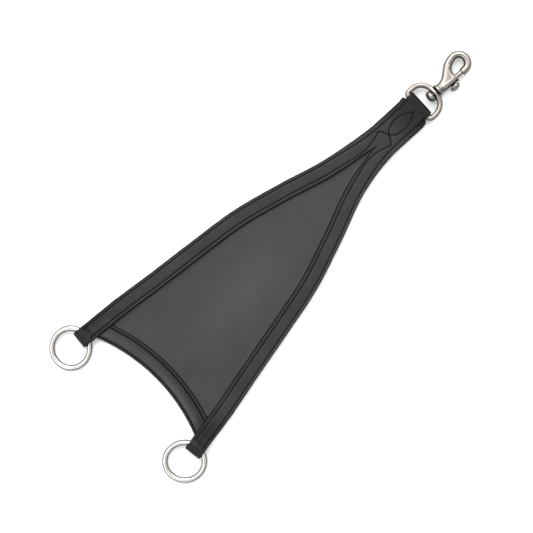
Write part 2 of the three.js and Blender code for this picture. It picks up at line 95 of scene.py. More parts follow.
HEM_CENTRE = -147.5
HEM_RADIUS = 186.5
HEM_WIDTH = 18.2
HEM_LEATHER = 1.2
HEM_CROWN = 3.9
HEM_STITCH_IN = 3.0
HEM_STITCH_OUT = 2.6

SEAM_OFFSET = 5.5
TAB_SEAM_OFFSET = 3.9
STITCH_PITCH = 2.8
THREAD_RADIUS = 0.46
BACK_STITCH_HEIGHT = 0.72

joints = {joint["name"]: joint for joint in frame["joints"]}
PANEL_BOTTOM, PANEL_FACE = (corner.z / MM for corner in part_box("bib_panel"))
FRONT_BOTTOM = PANEL_FACE + LAYER_GAP
FRONT_FACE = FRONT_BOTTOM + FRONT_LEATHER
HEM_FACE = FRONT_BOTTOM + HEM_LEATHER
BAR_HEIGHT = joints["eye_swing"]["pos_m"][2] / MM
LOOP_OUTSIDE = RING_LOOP_RADIUS + LOOP_LEATHER
BAR_OUTSIDE = BAR_LOOP_RADIUS + FRONT_LEATHER
TAB_RISE = 20.0  # over this length the stuffed tab swells up to the bar
TAB_END = BAR_LINE - TAB_RISE

# The tab's shoulders: where they start to drop away beside the bar, and, below the bar, where the left one
# steps out from the neck and where the right one slopes out.
SHOULDER_INNER = 12.8
SHOULDER_OUTER = 14.3
NOTCH_START = 4.4
NOTCH_END = 5.4
SLOPE_START = 4.0
SLOPE_RUN = 2.4
NECK_CORNER = 1.3
NECK_SHIFT_END = 12.0

# How finely a folded strap end is drawn: points up to the bar, round it, and down to the back.
RISE_POINTS = 26
ROUND_POINTS = 33
DROP_POINTS = 14
BACK_SPACING = 1.2


# ---------------------------------------------------------------- layout
def smoothstep(x, low, high):
    t = np.clip((np.asarray(x, float) - low) / (high - low), 0, 1)
    return t * t * (3 - 2 * t)


def spline(a, b, c, d, t):
    """The smooth curve from b to c, at the share t, by way of the points a and d on either side."""
    square = 2 * a - 5 * b + 4 * c - d
    cubic = -a + 3 * b - 3 * c + d
    return 0.5 * (2 * b + (c - a) * t + square * t**2 + cubic * t**3)


def station(i):
    """The strap's middle at a station, running on straight before the first and level after the last."""
    start = 2 * STRAP_MIDDLE[0] - STRAP_MIDDLE[1]
    return np.where(i < 0, start, STRAP_MIDDLE[np.clip(i, 0, len(STRAP_MIDDLE) - 1)])


def strap_middle(y):
    """The strap's middle line on the right-hand side: a smooth curve through evenly spaced stations."""
    along = (np.asarray(y, float) - STATION_START) / STATION_STEP
    i = np.floor(along).astype(int)
    return spline(*(station(i + k) for k in (-1, 0, 1, 2)), along - i)


def strap_direction(y):
    """The x and y of the strap's unit direction."""
    step = 0.5
    run = strap_middle(np.asarray(y) + step) - strap_middle(np.asarray(y) - step)
    length = np.hypot(run, 2 * step)
    return run / length, 2 * step / length


def beside_strap(y, offset):
    """The x and y of a point that far outwards from the right-hand strap's middle line."""
    dx, dy = strap_direction(y)
    return strap_middle(y) + dy * offset, y - dx * offset


def sway_table():
    """The middle line of the bib's swayed top, by length along it."""
    y = np.linspace(SWAY_START, SWAY_START + SWAY_LENGTH, SWAY_STEPS + 1)
    angle = SWAY_TURN * smoothstep((y[1:] + y[:-1]) / 2, SWAY_START, SWAY_END)
    step = y[1] - y[0]
    x_mid = np.concatenate([[0], np.cumsum(step * np.sin(angle))])
    y_mid = SWAY_START + np.concatenate([[0], np.cumsum(step * np.cos(angle))])
    return y, x_mid, y_mid


SWAY_Y, SWAY_X_MID, SWAY_Y_MID = sway_table()


def laid(points):
    """Layout points moved to where the bib lies: its legs a little uneven, its top turned to one side."""
    points = np.array(points, float)
    x, y = points[..., 0].copy(), points[..., 1].copy()
    angle = SWAY_TURN * smoothstep(y, SWAY_START, SWAY_END)
    skew = SKEW * (1 - smoothstep(y, SKEW_START, SKEW_END))
    low = y <= SWAY_START
    points[..., 0] = np.where(low, x, np.interp(y, SWAY_Y, SWAY_X_MID) + x * np.cos(angle))
    points[..., 1] = np.where(low, y, np.interp(y, SWAY_Y, SWAY_Y_MID)) - x * (np.sin(angle) + skew)
    return points


LEG_ALONG = -np.array(strap_direction(LEG_JOIN))
LEG_HINGE = np.array(beside_strap(LEG_JOIN, 0.0)) + LEG_ALONG * LOOP_RUN
LEG_ACROSS = np.array([-LEG_ALONG[1], LEG_ALONG[0]])
MID_ACROSS, MID_LENGTH = laid(LEG_HINGE) - np.array(joints["right_ring_swing"]["pos_m"][:2]) / MM


def to_frame(points):
    """Layout millimetres to the frame's metres."""
    return (laid(points) - [MID_ACROSS, MID_LENGTH, 0]) * MM


def ripple(x, y, size, height):
    """A gentle unevenness with no repeat that shows, at most height to each side."""
    waves = [(1.0, 0.31, 0.2), (-0.47, 0.93, 1.7), (0.71, -0.66, 4.1), (0.23, 1.31, 2.9)]
    total = sum(np.sin((x * a + y * b) * 2 * math.pi / size + c) for a, b, c in waves)
    return height * total / len(waves)


# ---------------------------------------------------------------- mesh helpers
SIDE_SHADE_MOST = 0.88  # how dark the painted shade down a metal piece's sides gets


def linked(name, data):
    """A new object in the scene."""
    made = bpy.data.objects.new(name, data)
    bpy.context.scene.collection.objects.link(made)
    return made


def plain_mesh(name, points, faces):
    mesh = bpy.data.meshes.new(name)
    mesh.from_pydata([tuple(p) for p in points], [], faces)
    return mesh


def cleaned(mesh):
    """The mesh with doubled points joined and its faces turned outwards."""
    work = bmesh.new()
    work.from_mesh(mesh)
    bmesh.ops.remove_doubles(work, verts=work.verts, dist=1e-7)
    bmesh.ops.recalc_face_normals(work, faces=work.faces)
    work.to_mesh(mesh)
    work.free()
    return mesh


def piece(name, points, faces, material, body, replaced, attributes=None):
    """A visible piece from points in the frame's metres."""
    mesh = plain_mesh(name, points, faces)
    for key, values in (attributes or {}).items():
        layer = mesh.attributes.new(key, "FLOAT", "POINT")
        layer.data.foreach_set("value", np.asarray(values, np.float32))
    return finished(name, mesh, material, body, replaced)


def finished(name, mesh, material, body, replaced):
    """A visible piece from its mesh, smooth and in its material, riding its body."""
    cleaned(mesh)
    mesh.polygons.foreach_set("use_smooth", [True] * len(mesh.polygons))
    mesh.materials.clear()
    mesh.materials.append(material)
    made = linked(name, mesh)
    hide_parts(*replaced)
    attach(made, body)
    return made


def paint_side_shade(made, full, none):
    """Painted shade down a metal piece's sides: the top and bottom stay bright, and where the surface faces
    sideways it is darkened to stand in for the dark surroundings the sides would reflect. The painted shade
    fades as the upward part of the surface's normal goes from full to none."""
    steep = np.empty(len(made.data.vertices) * 3)
    made.data.vertices.foreach_get("normal", steep)
    upright = np.abs(steep.reshape(-1, 3)[:, 2])
    layer = made.data.attributes.new("side_shade", "FLOAT", "POINT")
    layer.data.foreach_set("value", SIDE_SHADE_MOST * (1 - smoothstep(upright, full, none)))


def end_caps(count, sides):
    """The first and last rings of a tube with that many points, as faces."""
    return [tuple(range(sides)), tuple(range(count - 1, count - 1 - sides, -1))]


def grid_faces(rows, columns, start=0, flip=False, closed_columns=False, closed_rows=False):
    faces = []
    for i in range(rows if closed_rows else rows - 1):
        for j in range(columns if closed_columns else columns - 1):
            a = start + i * columns + j
            b = start + i * columns + (j + 1) % columns
            c = start + ((i + 1) % rows) * columns + (j + 1) % columns
            d = start + ((i + 1) % rows) * columns + j
            faces.append((a, d, c, b) if flip else (a, b, c, d))
    return faces


def merged(parts):
    """Several (points, faces) parts as one."""
    points, faces, count = [], [], 0
    for made, quads in parts:
        points.append(made)
        faces += [tuple(count + v for v in quad) for quad in quads]
        count += len(made)
    return np.concatenate(points), faces


def wall_faces(top, bottom):
    """Quads between two lines of vertex numbers."""
    return [(top[k], top[k + 1], bottom[k + 1], bottom[k]) for k in range(len(top) - 1)]


def slab(grid, open_rows=None):
    """Faces of a closed sheet between a grid of points and a like one numbered after it. open_rows says for
    each row whether its first column is a free edge with a wall of its own."""
    rows, columns = grid.shape[:2]
    count = rows * columns
    faces = grid_faces(rows, columns) + grid_faces(rows, columns, count, flip=True)
    last = [i * columns + columns - 1 for i in range(rows)]
    faces += wall_faces(last, [v + count for v in last])
    for row in (0, rows - 1):
        line = list(range(row * columns, (row + 1) * columns))
        faces += wall_faces(line, [v + count for v in line])
    for i in range(rows - 1):
        if open_rows is None or open_rows[i] or open_rows[i + 1]:
            a, b = i * columns, (i + 1) * columns
            faces.append((a, b, b + count, a + count))
    return faces


def bezier(p0, p1, p2, p3, count):
    t = np.linspace(0, 1, count)[:, None]
    p0, p1, p2, p3 = (np.array(p, float) for p in (p0, p1, p2, p3))
    return (1 - t) ** 3 * p0 + 3 * (1 - t) ** 2 * t * p1 + 3 * (1 - t) * t**2 * p2 + t**3 * p3


def arc(centre, radius, start, end, count):
    a = np.radians(np.linspace(start, end, count))
    return np.stack([centre[0] + radius * np.cos(a), centre[1] + radius * np.sin(a)], -1)


def folded_end(height, inside, outside, rise, run, turn_back):
    """The outer and inner lines of a strap end folded round a bar, in (distance from the bar, height). The
    upper layer climbs to the loop over rise, and the lower layer drops from it over run."""
    lines = []
    for radius, top, under in ((outside, FRONT_FACE, 0.0), (inside, FRONT_BOTTOM, BACK_LEATHER)):
        bend = 0.45 * run
        high, low = height + radius, height - radius
        up = bezier((rise, top), (0.55 * rise, top), (0.4 * rise, high), (0, high), RISE_POINTS)
        over = arc((0, height), radius, 90, 270, ROUND_POINTS)
        down = bezier((0, low), (bend, low), (run - bend, under), (run, under), DROP_POINTS)
        count = max(3, round((turn_back - run) / BACK_SPACING))
        back = np.stack([np.linspace(run, turn_back, count), np.full(count, under)], -1)
        lines.append(np.concatenate([up, over[1:], down[1:], back[1:]]))
    return lines


LEG_FOLD = folded_end(LOOP_OUTSIDE, RING_LOOP_RADIUS, LOOP_OUTSIDE, LOOP_RUN, LOOP_RUN, LEG_TURN_BACK)
TAB_FOLD = folded_end(BAR_HEIGHT, BAR_LOOP_RADIUS, BAR_OUTSIDE, TAB_RISE, BAR_RUN, TAB_TURN_BACK)
SHOULDER_FOLD = folded_end(BAR_HEIGHT, BAR_LOOP_RADIUS, BAR_OUTSIDE, BAR_RUN, BAR_RUN, TAB_TURN_BACK)


def fold_height(fold, distance):
    """Height of a fold's upper face above a point that far from the bar."""
    climb = fold[0][:RISE_POINTS][::-1]
    return np.interp(distance, climb[:, 0], climb[:, 1])


def shoulder_drop(x, y):
    """How far the tab's shoulders lie below its stuffed middle, out of the way of the eye's sides."""
    gap = np.clip(BAR_LINE - np.asarray(y), 0, TAB_RISE)
    drop = fold_height(TAB_FOLD, gap) - fold_height(SHOULDER_FOLD, gap)
    return drop * smoothstep(np.abs(x), SHOULDER_INNER, SHOULDER_OUTER)


# ---------------------------------------------------------------- materials
# The sockets of a Mix node in its colour mode.
MIX_FACTOR = 0
MIX_FIRST = 6
MIX_SECOND = 7
MIX_RESULT = 2
# how pale the painted highlight gets, against the leather's light colour
HIGHLIGHT_GAIN = 1.6
# how dark the painted darkening gets, against the leather's dark colour
DARKENING_GAIN = 0.28
# the painted shade down metal sides, as a share of the tarnish colour
SIDE_SHADE_GAIN = 0.3


def shader(name):
    """A new material: itself, its nodes, its surface, and object coordinates in millimetres."""
    made = bpy.data.materials.new(name)
    made.use_nodes = True
    tree = made.node_tree
    surface = tree.nodes["Principled BSDF"]
    where = tree.nodes.new("ShaderNodeTexCoord")
    scaled = tree.nodes.new("ShaderNodeMapping")
    scaled.inputs["Scale"].default_value = (1 / MM,) * 3
    tree.links.new(where.outputs["Object"], scaled.inputs["Vector"])
    return made, tree, surface, scaled.outputs["Vector"]


def noise(tree, vector, size, detail, roughness=0.55):
    """Noise whose lumps are about size millimetres across."""
    made = tree.nodes.new("ShaderNodeTexNoise")
    made.inputs["Scale"].default_value = 1 / size
    made.inputs["Detail"].default_value = detail
    made.inputs["Roughness"].default_value = roughness
    tree.links.new(vector, made.inputs["Vector"])
    return made.outputs["Fac"]


def cells(tree, vector, size):
    """Distance to the middle of the nearest cell; the cells are about size millimetres across."""
    made = tree.nodes.new("ShaderNodeTexVoronoi")
    made.inputs["Scale"].default_value = 1 / size
    tree.links.new(vector, made.inputs["Vector"])
    return made.outputs["Distance"]


def mapped(tree, value, low, high, to_low, to_high):
    """The value carried from one range to another, and held at its ends."""
    made = tree.nodes.new("ShaderNodeMapRange")
    for key, number in zip(("From Min", "From Max", "To Min", "To Max"), (low, high, to_low, to_high)):
        made.inputs[key].default_value = number
    tree.links.new(value, made.inputs["Value"])
    return made.outputs["Result"]


def mixed(tree, factor, first, second):
    """A colour between first and second; each is a colour or another node's output."""
    made = tree.nodes.new("ShaderNodeMix")
    made.data_type = "RGBA"
    for place, value in ((MIX_FACTOR, factor), (MIX_FIRST, first), (MIX_SECOND, second)):
        socket = made.inputs[place]
        if isinstance(value, tuple):
            socket.default_value = (*value, 1.0)
        else:
            tree.links.new(value, socket)
    return made.outputs[MIX_RESULT]


def attribute(tree, name):
    made = tree.nodes.new("ShaderNodeAttribute")
    made.attribute_name = name
    return made.outputs["Fac"]


def bump(tree, height, depth, strength, under=None):
    """A bump depth millimetres deep, on top of another bump if one is given."""
    made = tree.nodes.new("ShaderNodeBump")
    made.inputs["Strength"].default_value = strength
    made.inputs["Distance"].default_value = depth * MM
    tree.links.new(height, made.inputs["Height"])
    if under is not None:
        tree.links.new(under, made.inputs["Normal"])
    return made.outputs["Normal"]


def leather(name, light, dark, edge, grain, roughness):
    """Dyed leather: pebbled grain, cloudy colour, paler under a painted highlight and darker where it is
    painted darker, partly as painted shade, with a black painted edge, painted shadow beside parts that lie
    over it, and painted shade in the seams' grooves."""
    made, tree, surface, vector = shader(name)
    cloud = noise(tree, vector, 22.0, 4.0)
    speckle = noise(tree, vector, 0.9, 2.0)
    colour = mixed(tree, mapped(tree, cloud, 0.3, 0.7, 0.0, 1.0), light, dark)
    colour = mixed(tree, mapped(tree, speckle, 0.35, 0.65, 0.0, 0.45), colour, dark)
    # painted highlight: paler colour on the strap's outer strip, the bib's middle and the hem's roll
    colour = mixed(tree, attribute(tree, "painted_highlight"), colour, tuple(HIGHLIGHT_GAIN * c for c in light))
    # darker tab and leg ends, with painted shade at the tab's fold and on the hem's upper roll
    colour = mixed(tree, attribute(tree, "darkening"), colour, tuple(DARKENING_GAIN * c for c in dark))
    # the black painted edge, which on the bib and the hem also carries painted shadow beside the parts
    # lying over them
    rim = mapped(tree, attribute(tree, "edge"), 0.6, 1.2, 0.95, 0.0)
    # painted shade in the seams' grooves: the leather near a seam is mixed towards the black edge colour
    groove_shade = mapped(tree, attribute(tree, "seam"), 0.5, 1.1, 0.95, 0.0)
    colour = mixed(tree, groove_shade, mixed(tree, rim, colour, edge), edge)
    tree.links.new(colour, surface.inputs["Base Color"])
    pores = cells(tree, vector, grain)
    creases = noise(tree, vector, grain * 5, 5.0, 0.65)
    fine = bump(tree, creases, 0.10, 0.6)
    tree.links.new(bump(tree, pores, 0.05, 0.5, fine), surface.inputs["Normal"])
    waxiness = noise(tree, vector, 6.0, 4.0)
    varied = mapped(tree, waxiness, 0.3, 0.7, roughness - 0.07, roughness + 0.07)
    tree.links.new(varied, surface.inputs["Roughness"])
    surface.inputs["Specular IOR Level"].default_value = 0.14
    return made


def raw_leather():
    """The undyed, fibrous inside of the padding."""
    made, tree, surface, vector = shader("raw_leather")
    fibre = noise(tree, vector, 0.8, 6.0, 0.7)
    share = mapped(tree, fibre, 0.35, 0.65, 0.0, 1.0)
    colour = mixed(tree, share, (0.02, 0.017, 0.014), (0.05, 0.043, 0.036))
    tree.links.new(colour, surface.inputs["Base Color"])
    tree.links.new(bump(tree, fibre, 0.2, 0.8), surface.inputs["Normal"])
    surface.inputs["Roughness"].default_value = 0.9
    return made


def thread_material():
    """Black waxed thread, dulled by its coating."""
    made, tree, surface, vector = shader("waxed_thread")
    twist = noise(tree, vector, 0.25, 2.0)
    share = mapped(tree, twist, 0.35, 0.65, 0.0, 1.0)
    colour = mixed(tree, share, (0.002, 0.002, 0.003), (0.009, 0.009, 0.010))
    tree.links.new(colour, surface.inputs["Base Color"])
    tree.links.new(bump(tree, twist, 0.08, 0.7), surface.inputs["Normal"])
    surface.inputs["Roughness"].default_value = 0.7
    surface.inputs["Specular IOR Level"].default_value = 0.06
    return made


def metal(name, colour, tarnish_and_shade, roughness, pitting):
    """Plated or polished metal with faint scratches, pits and patches, and painted shade down its sides."""
    made, tree, surface, vector = shader(name)
    patch = noise(tree, vector, 5.0, 4.0)
    shade = mixed(tree, mapped(tree, patch, 0.45, 0.75, 0.0, 0.6), colour, tarnish_and_shade)
    # painted shade: the metal's sides are mixed towards a darker copy of its tarnish colour
    shade = mixed(tree, attribute(tree, "side_shade"), shade, tuple(SIDE_SHADE_GAIN * c for c in tarnish_and_shade))
    tree.links.new(shade, surface.inputs["Base Color"])
    surface.inputs["Metallic"].default_value = 1.0
    scuff = noise(tree, vector, 1.2, 5.0, 0.7)
    varied = mapped(tree, scuff, 0.3, 0.7, roughness * 0.7, roughness * 1.4)
    tree.links.new(varied, surface.inputs["Roughness"])
    casting = bump(tree, noise(tree, vector, 1.6, 3.0), pitting, 0.5)
    polished = bump(tree, noise(tree, vector, 0.2, 2.0), 0.01, 0.3, casting)
    tree.links.new(polished, surface.inputs["Normal"])
    return made


STRAP = leather(
    "strap_leather",
    light=(0.0258, 0.0262, 0.0266),
    dark=(0.018, 0.0183, 0.0186),
    edge=(0.002, 0.002, 0.002),
    grain=0.5,
    roughness=0.44,
)
PANEL = leather(
    "panel_leather",
    light=(0.0345, 0.0357, 0.0365),
    dark=(0.0275, 0.0282, 0.0287),
    edge=(0.003, 0.003, 0.003),
    grain=0.4,
    roughness=0.55,
)
RAW = raw_leather()
THREAD = thread_material()
RING_METAL = metal("ring_metal", (0.58, 0.565, 0.55), (0.42, 0.40, 0.38), roughness=0.17, pitting=0.02)
SNAP_METAL = metal("snap_metal", (0.28, 0.260, 0.240), (0.19, 0.171, 0.154), roughness=0.24, pitting=0.10)
SPRING_METAL = metal("spring_metal", (0.6, 0.6, 0.62), (0.4, 0.4, 0.42), roughness=0.3, pitting=0.02)


# ---------------------------------------------------------------- the yoke
EDGE_ROUND = 0.9
FRONT_ROWS = 640
FAR = 9.0  # a distance beyond which an edge or a seam doesn't show
STRAP_CROWN = 0.28
GROOVE_DEPTH = 0.5
GROOVE_HALF = 0.7
FORK_CLOSED = 0.35  # the straps' inner edges count as joined when this close to the middle
JOINED_AWAY = 20.0  # and a joined edge counts as this much further off
HEM_LIFT = 1.3

# Where the strap's points lie across its width: closest at its edges and along its seams.
STRAP_WIDTH = 2 * STRAP_HALF
EDGE_COLUMNS = [0, 0.1, 0.3, 0.6, 1.0, 1.6, 2.3, 2.9, 3.25, 3.5, 3.75, 4.1, 4.7]
OTHER_COLUMNS = [STRAP_WIDTH - column for column in EDGE_COLUMNS[::-1]]
COLUMNS = np.array([*EDGE_COLUMNS, *np.linspace(5.6, 12.4, 9), *OTHER_COLUMNS]) / STRAP_WIDTH


def seam_offset(y):
    """The outer seam's distance from the strap's middle, which narrows towards the tab."""
    return SEAM_OFFSET + (TAB_SEAM_OFFSET - SEAM_OFFSET) * smoothstep(y, 310, 360)


# The inner seams run on over the tab, as a crook and one side of a leaf.
SEAM_STEP = 0.5
CROOK = [(7.3, 330), (4.9, 341), (4.8, 351), (6.4, 361.5), (9.5, 370)]
LEAF = [(9.5, 370), (5, 373.4), (0, 376), (-4.2, 380), (-6.6, 388.5), (-5.6, 398.5), (0, 409.3)]


def curve_through(points, count):
    """A smooth curve through given points."""
    points = np.array(points, float)
    ends = np.vstack([2 * points[0] - points[1], points, 2 * points[-1] - points[-2]])
    made = []
    for i in range(1, len(ends) - 2):
        for t in np.linspace(0, 1, count, endpoint=False):
            made.append(spline(*ends[i - 1 : i + 3], t))
    made.append(points[-1])
    return np.array(made)


def leg_points(distances, offset):
    """Points on the right-hand leg's fold, by distance from its hinge towards the bib."""
    distances = np.asarray(distances, float)
    return LEG_HINGE - np.outer(distances, LEG_ALONG) + LEG_ACROSS * offset


def outer_seam_line():
    first = leg_points(np.arange(4.5, LOOP_RUN, SEAM_STEP), SEAM_OFFSET)
    y = np.arange(LEG_JOIN, BAR_LINE - 4.2, SEAM_STEP)
    return np.vstack([first, np.stack(beside_strap(y, seam_offset(y)), -1)])


def inner_seam_line():
    """The inner seam up to the end of its crook, and its side of the leaf."""
    first = leg_points(np.arange(5.5, LOOP_RUN, SEAM_STEP), -SEAM_OFFSET)
    strap = np.stack(beside_strap(np.arange(LEG_JOIN, 319, SEAM_STEP), -SEAM_OFFSET), -1)
    crook = curve_through([strap[-1], *CROOK], 20)[1:]
    return np.vstack([first, strap, crook]), curve_through(LEAF, 20)


OUTER_SEAM = outer_seam_line()
INNER_SEAM, LEAF_SEAM = inner_seam_line()


def hem_lift(x, y):
    """How far the strap stands up where the hem's end lies under it, on the right-hand side."""
    offset = (x - strap_middle(y)) * strap_direction(y)[1]
    across = 1 - smoothstep(offset, -4.5, 1.5)
    return HEM_LIFT * across * smoothstep(y, 20, 27) * (1 - smoothstep(y, 44.5, 51))


def front_height(x, y):
    """Height of the front yoke's upper face at a point of the right-hand half, away from its edges."""
    gap = np.asarray(y) - TAB_END
    tab = fold_height(TAB_FOLD, TAB_RISE - np.clip(gap, 0, TAB_RISE)) - FRONT_FACE
    along = (np.stack([x, y], -1) - LEG_HINGE) @ -LEG_ALONG
    leg = fold_height(LEG_FOLD, np.clip(along, 0, LOOP_RUN)) - FRONT_FACE
    return FRONT_FACE + tab + leg + hem_lift(x, y)


def near(points, line):
    """Distance in plan from each point to a line of closely spaced points."""
    tree = KDTree(len(line))
    for i, (x, y) in enumerate(line):
        tree.insert((x, y, 0), i)
    tree.balance()
    return np.array([tree.find((x, y, 0))[2] for x, y in points])


def strap_rows(y_values):
    """Right-hand half of a flat layer: each row's inner and outer edge points, whether its inner edge is
    free, and how much that edge is rounded off."""
    inner = np.stack(beside_strap(y_values, -STRAP_HALF), -1)
    outer = np.stack(beside_strap(y_values, STRAP_HALF), -1)
    share = np.clip((inner[:, 0] - FORK_CLOSED) / 0.8, 0, 1)
    closed = inner[:, 0] < FORK_CLOSED
    inner[:, 0] = np.where(closed, 0, inner[:, 0])
    inner[:, 1] = np.where(closed, outer[:, 1], inner[:, 1])
    return inner, outer, ~closed, share


def tab_half(distance, side):
    """The tab's half width by distance from the bar: a notched left shoulder and a sloped right one."""
    wide = beside_strap(TAB_SHOULDER, STRAP_HALF)[0]
    if side < 0:
        step = float(smoothstep(distance, NOTCH_START, NOTCH_END))
        return TAB_NECK_HALF + (wide - TAB_NECK_HALF) * step
    slope = np.clip((distance - SLOPE_START) / SLOPE_RUN, 0, 1) ** 0.7
    corner = NECK_CORNER * (1 - float(smoothstep(distance, -BAR_OUTSIDE, -3.0)))
    return TAB_NECK_HALF - corner + (wide - TAB_NECK_HALF) * float(slope)


def front_grids(side):
    """Half of the front yoke as rows from the leg's turned-back end to the tab's: its upper and lower
    face, which rows have a free inner edge, and how much they are rounded off there."""
    upper, lower, free, share = [], [], [], []
    edges = (-STRAP_HALF, STRAP_HALF)
    for (a, z), (b, w) in zip(LEG_FOLD[0][::-1], LEG_FOLD[1][::-1]):
        ends = [leg_points([d], offset)[0] for d in (a, b) for offset in edges]
        upper.append([(*ends[0], z), (*ends[1], z)])
        lower.append([(*ends[2], w), (*ends[3], w)])
        free.append(True)
        share.append(1.0)
    y_values = np.linspace(LEG_JOIN, TAB_END, FRONT_ROWS)[1:-1]
    inner, outer, opened, rounding = strap_rows(y_values)
    for i in range(len(y_values)):
        upper.append([(*inner[i], FRONT_FACE), (*outer[i], FRONT_FACE)])
        lower.append([(*inner[i], FRONT_BOTTOM), (*outer[i], FRONT_BOTTOM)])
        free.append(bool(opened[i]))
        share.append(rounding[i])
    for (a, z), (b, w) in zip(*TAB_FOLD):
        half = tab_half(a, side)
        upper.append([(0, BAR_LINE - a, z), (half, BAR_LINE - a, z)])
        lower.append([(0, BAR_LINE - b, w), (half, BAR_LINE - b, w)])
        free.append(False)
        share.append(0.0)
    return np.array(upper), np.array(lower), np.array(free), np.array(share)


def spread(rows):
    """Rows given by their two ends, filled in across the strap."""
    f = COLUMNS[None, :, None]
    return rows[:, :1] * (1 - f) + rows[:, 1:] * f


def edge_distance(rows, share):
    """Distance across the strap from each point to the nearer free edge."""
    width = np.linalg.norm(rows[:, 1] - rows[:, 0], axis=-1)[:, None]
    outer = (1 - COLUMNS)[None] * width
    inner = COLUMNS[None] * width + (1 - share[:, None]) * JOINED_AWAY
    return np.minimum(outer, inner)


def rounded(distance):
    """How far a rounded edge falls below the flat face, that far in from the edge."""
    inside = np.clip(EDGE_ROUND - distance, 0, EDGE_ROUND)
    return EDGE_ROUND - np.sqrt(EDGE_ROUND**2 - inside**2)


def seam_distance(points, lines):
    """Distance in plan from each point of a grid to the nearest of the seams."""
    flat = points.reshape(-1, points.shape[-1])[:, :2]
    return near(flat, np.concatenate(lines)).reshape(points.shape[:-1])


def pressed(distance, depth=GROOVE_DEPTH):
    """How deep a seam that far away pulls the leather in."""
    return depth * np.exp(-((distance / GROOVE_HALF) ** 2))


def darkening(y):
    """Where the leather is painted darkest: the tab, with painted shade where it climbs over the bar, and
    the ends of the legs.
    """
    tab = 0.8 * smoothstep(y, 374, 400) + 0.2 * smoothstep(y, 408, 416)
    return tab + 0.75 * (1 - smoothstep(y, 20, 70))


def strap_highlight(y, side):
    """The strap's outer strip is painted paler, a painted highlight, strongest on the right-hand strap."""
    strip = smoothstep(COLUMNS, 0.72, 0.82)[None] * smoothstep(y, 60, 100)
    return strip * (1 - smoothstep(y, 310, 350)) * (0.55 if side > 0 else 0.1)


def mirror_line(line):
    return line * [-1, 1]


def mirrored_piece(name, halves, material, replaced):
    """One piece from a right-hand and a left-hand slab, each (upper grid, lower grid, free rows, shift,
    attributes of both grids)."""
    parts, attributes = [], {}
    for side, (face, back, free, shift, values) in zip((1, -1), halves):
        block = np.concatenate([face, back]).reshape(-1, 3) * [side, 1, 1]
        block[:, 0] += np.tile(np.repeat(shift, face.shape[1]), 2)
        parts.append((block, slab(face, free)))
        for key, value in values.items():
            attributes.setdefault(key, []).append(np.asarray(value).ravel())
    attributes = {key: np.concatenate(value) for key, value in attributes.items()}
    points, faces = merged(parts)
    piece(name, to_frame(points), faces, material, "bib", [replaced], attributes=attributes)


def front_half(side):
    """Half of the front yoke, its edges rounded, its seams pulled in and its shoulders pressed down."""
    upper_ends, lower_ends, free, share = front_grids(side)
    upper, lower = spread(upper_ends), spread(lower_ends)
    edge = edge_distance(upper_ends, share)
    seam = seam_distance(upper, [OUTER_SEAM, INNER_SEAM, LEAF_SEAM, mirror_line(LEAF_SEAM)])
    turned_under = upper[..., 2] < PANEL_FACE
    seam[turned_under] = FAR
    for layer in (upper, lower):
        layer[..., 2] -= shoulder_drop(layer[..., 0], layer[..., 1]) * ~turned_under
    thickness = np.linalg.norm(upper - lower, axis=-1)
    down = (lower - upper) / thickness[..., None]
    crown = STRAP_CROWN * (1 - (2 * COLUMNS - 1) ** 2)[None]
    sunk = rounded(edge) + pressed(seam) - crown * share[:, None]
    sunk += ripple(upper[..., 0], upper[..., 1], 47, 0.1)
    lift = hem_lift(upper[..., 0], upper[..., 1]) * ~turned_under
    face = upper + down * sunk[..., None]
    back = lower - down * (0.5 * rounded(edge))[..., None]
    face[..., 2] = np.maximum(face[..., 2] + lift, 0)
    back[..., 2] += lift
    beyond = BAR_LINE - upper_ends[:, 0, 1]
    shift = EYE_SET * (1 - smoothstep(beyond, NOTCH_START, NECK_SHIFT_END))
    inner = np.zeros_like(edge)
    values = {
        "edge": [edge, inner],
        "seam": [seam, inner + FAR],
        "darkening": [darkening(upper[..., 1]), inner],
        "painted_highlight": [strap_highlight(upper[..., 1], side), inner],
    }
    return face, back, free, shift, values


def front_yoke():
    mirrored_piece("front_straps", [front_half(1), front_half(-1)], STRAP, "front_yoke")


def back_yoke():
    start = LEG_JOIN + LEG_TURN_BACK - LOOP_RUN + PIECE_GAP
    y_values = np.linspace(start, BAR_LINE - TAB_TURN_BACK - PIECE_GAP, 330)
    inner, outer, free, share = strap_rows(y_values)
    ends = np.stack([inner, outer], 1)
    ends = np.concatenate([ends, np.zeros((*ends.shape[:2], 1))], -1)
    under = spread(ends)
    edge = edge_distance(ends, share)
    seam = seam_distance(under, [OUTER_SEAM, INNER_SEAM])
    top = under + [0, 0, BACK_LEATHER]
    under[..., 2] += rounded(edge) * 0.8 + pressed(seam, 0.35)
    top[..., 2] -= rounded(edge) * 0.3
    hidden = np.zeros_like(edge)
    plain = [hidden, hidden]
    values = {"edge": [edge, hidden], "seam": [seam, hidden + FAR], "darkening": plain, "painted_highlight": plain}
    half = (under, top, free, np.zeros(len(y_values)), values)
    mirrored_piece("back_straps", [half, half], STRAP, "back_yoke")


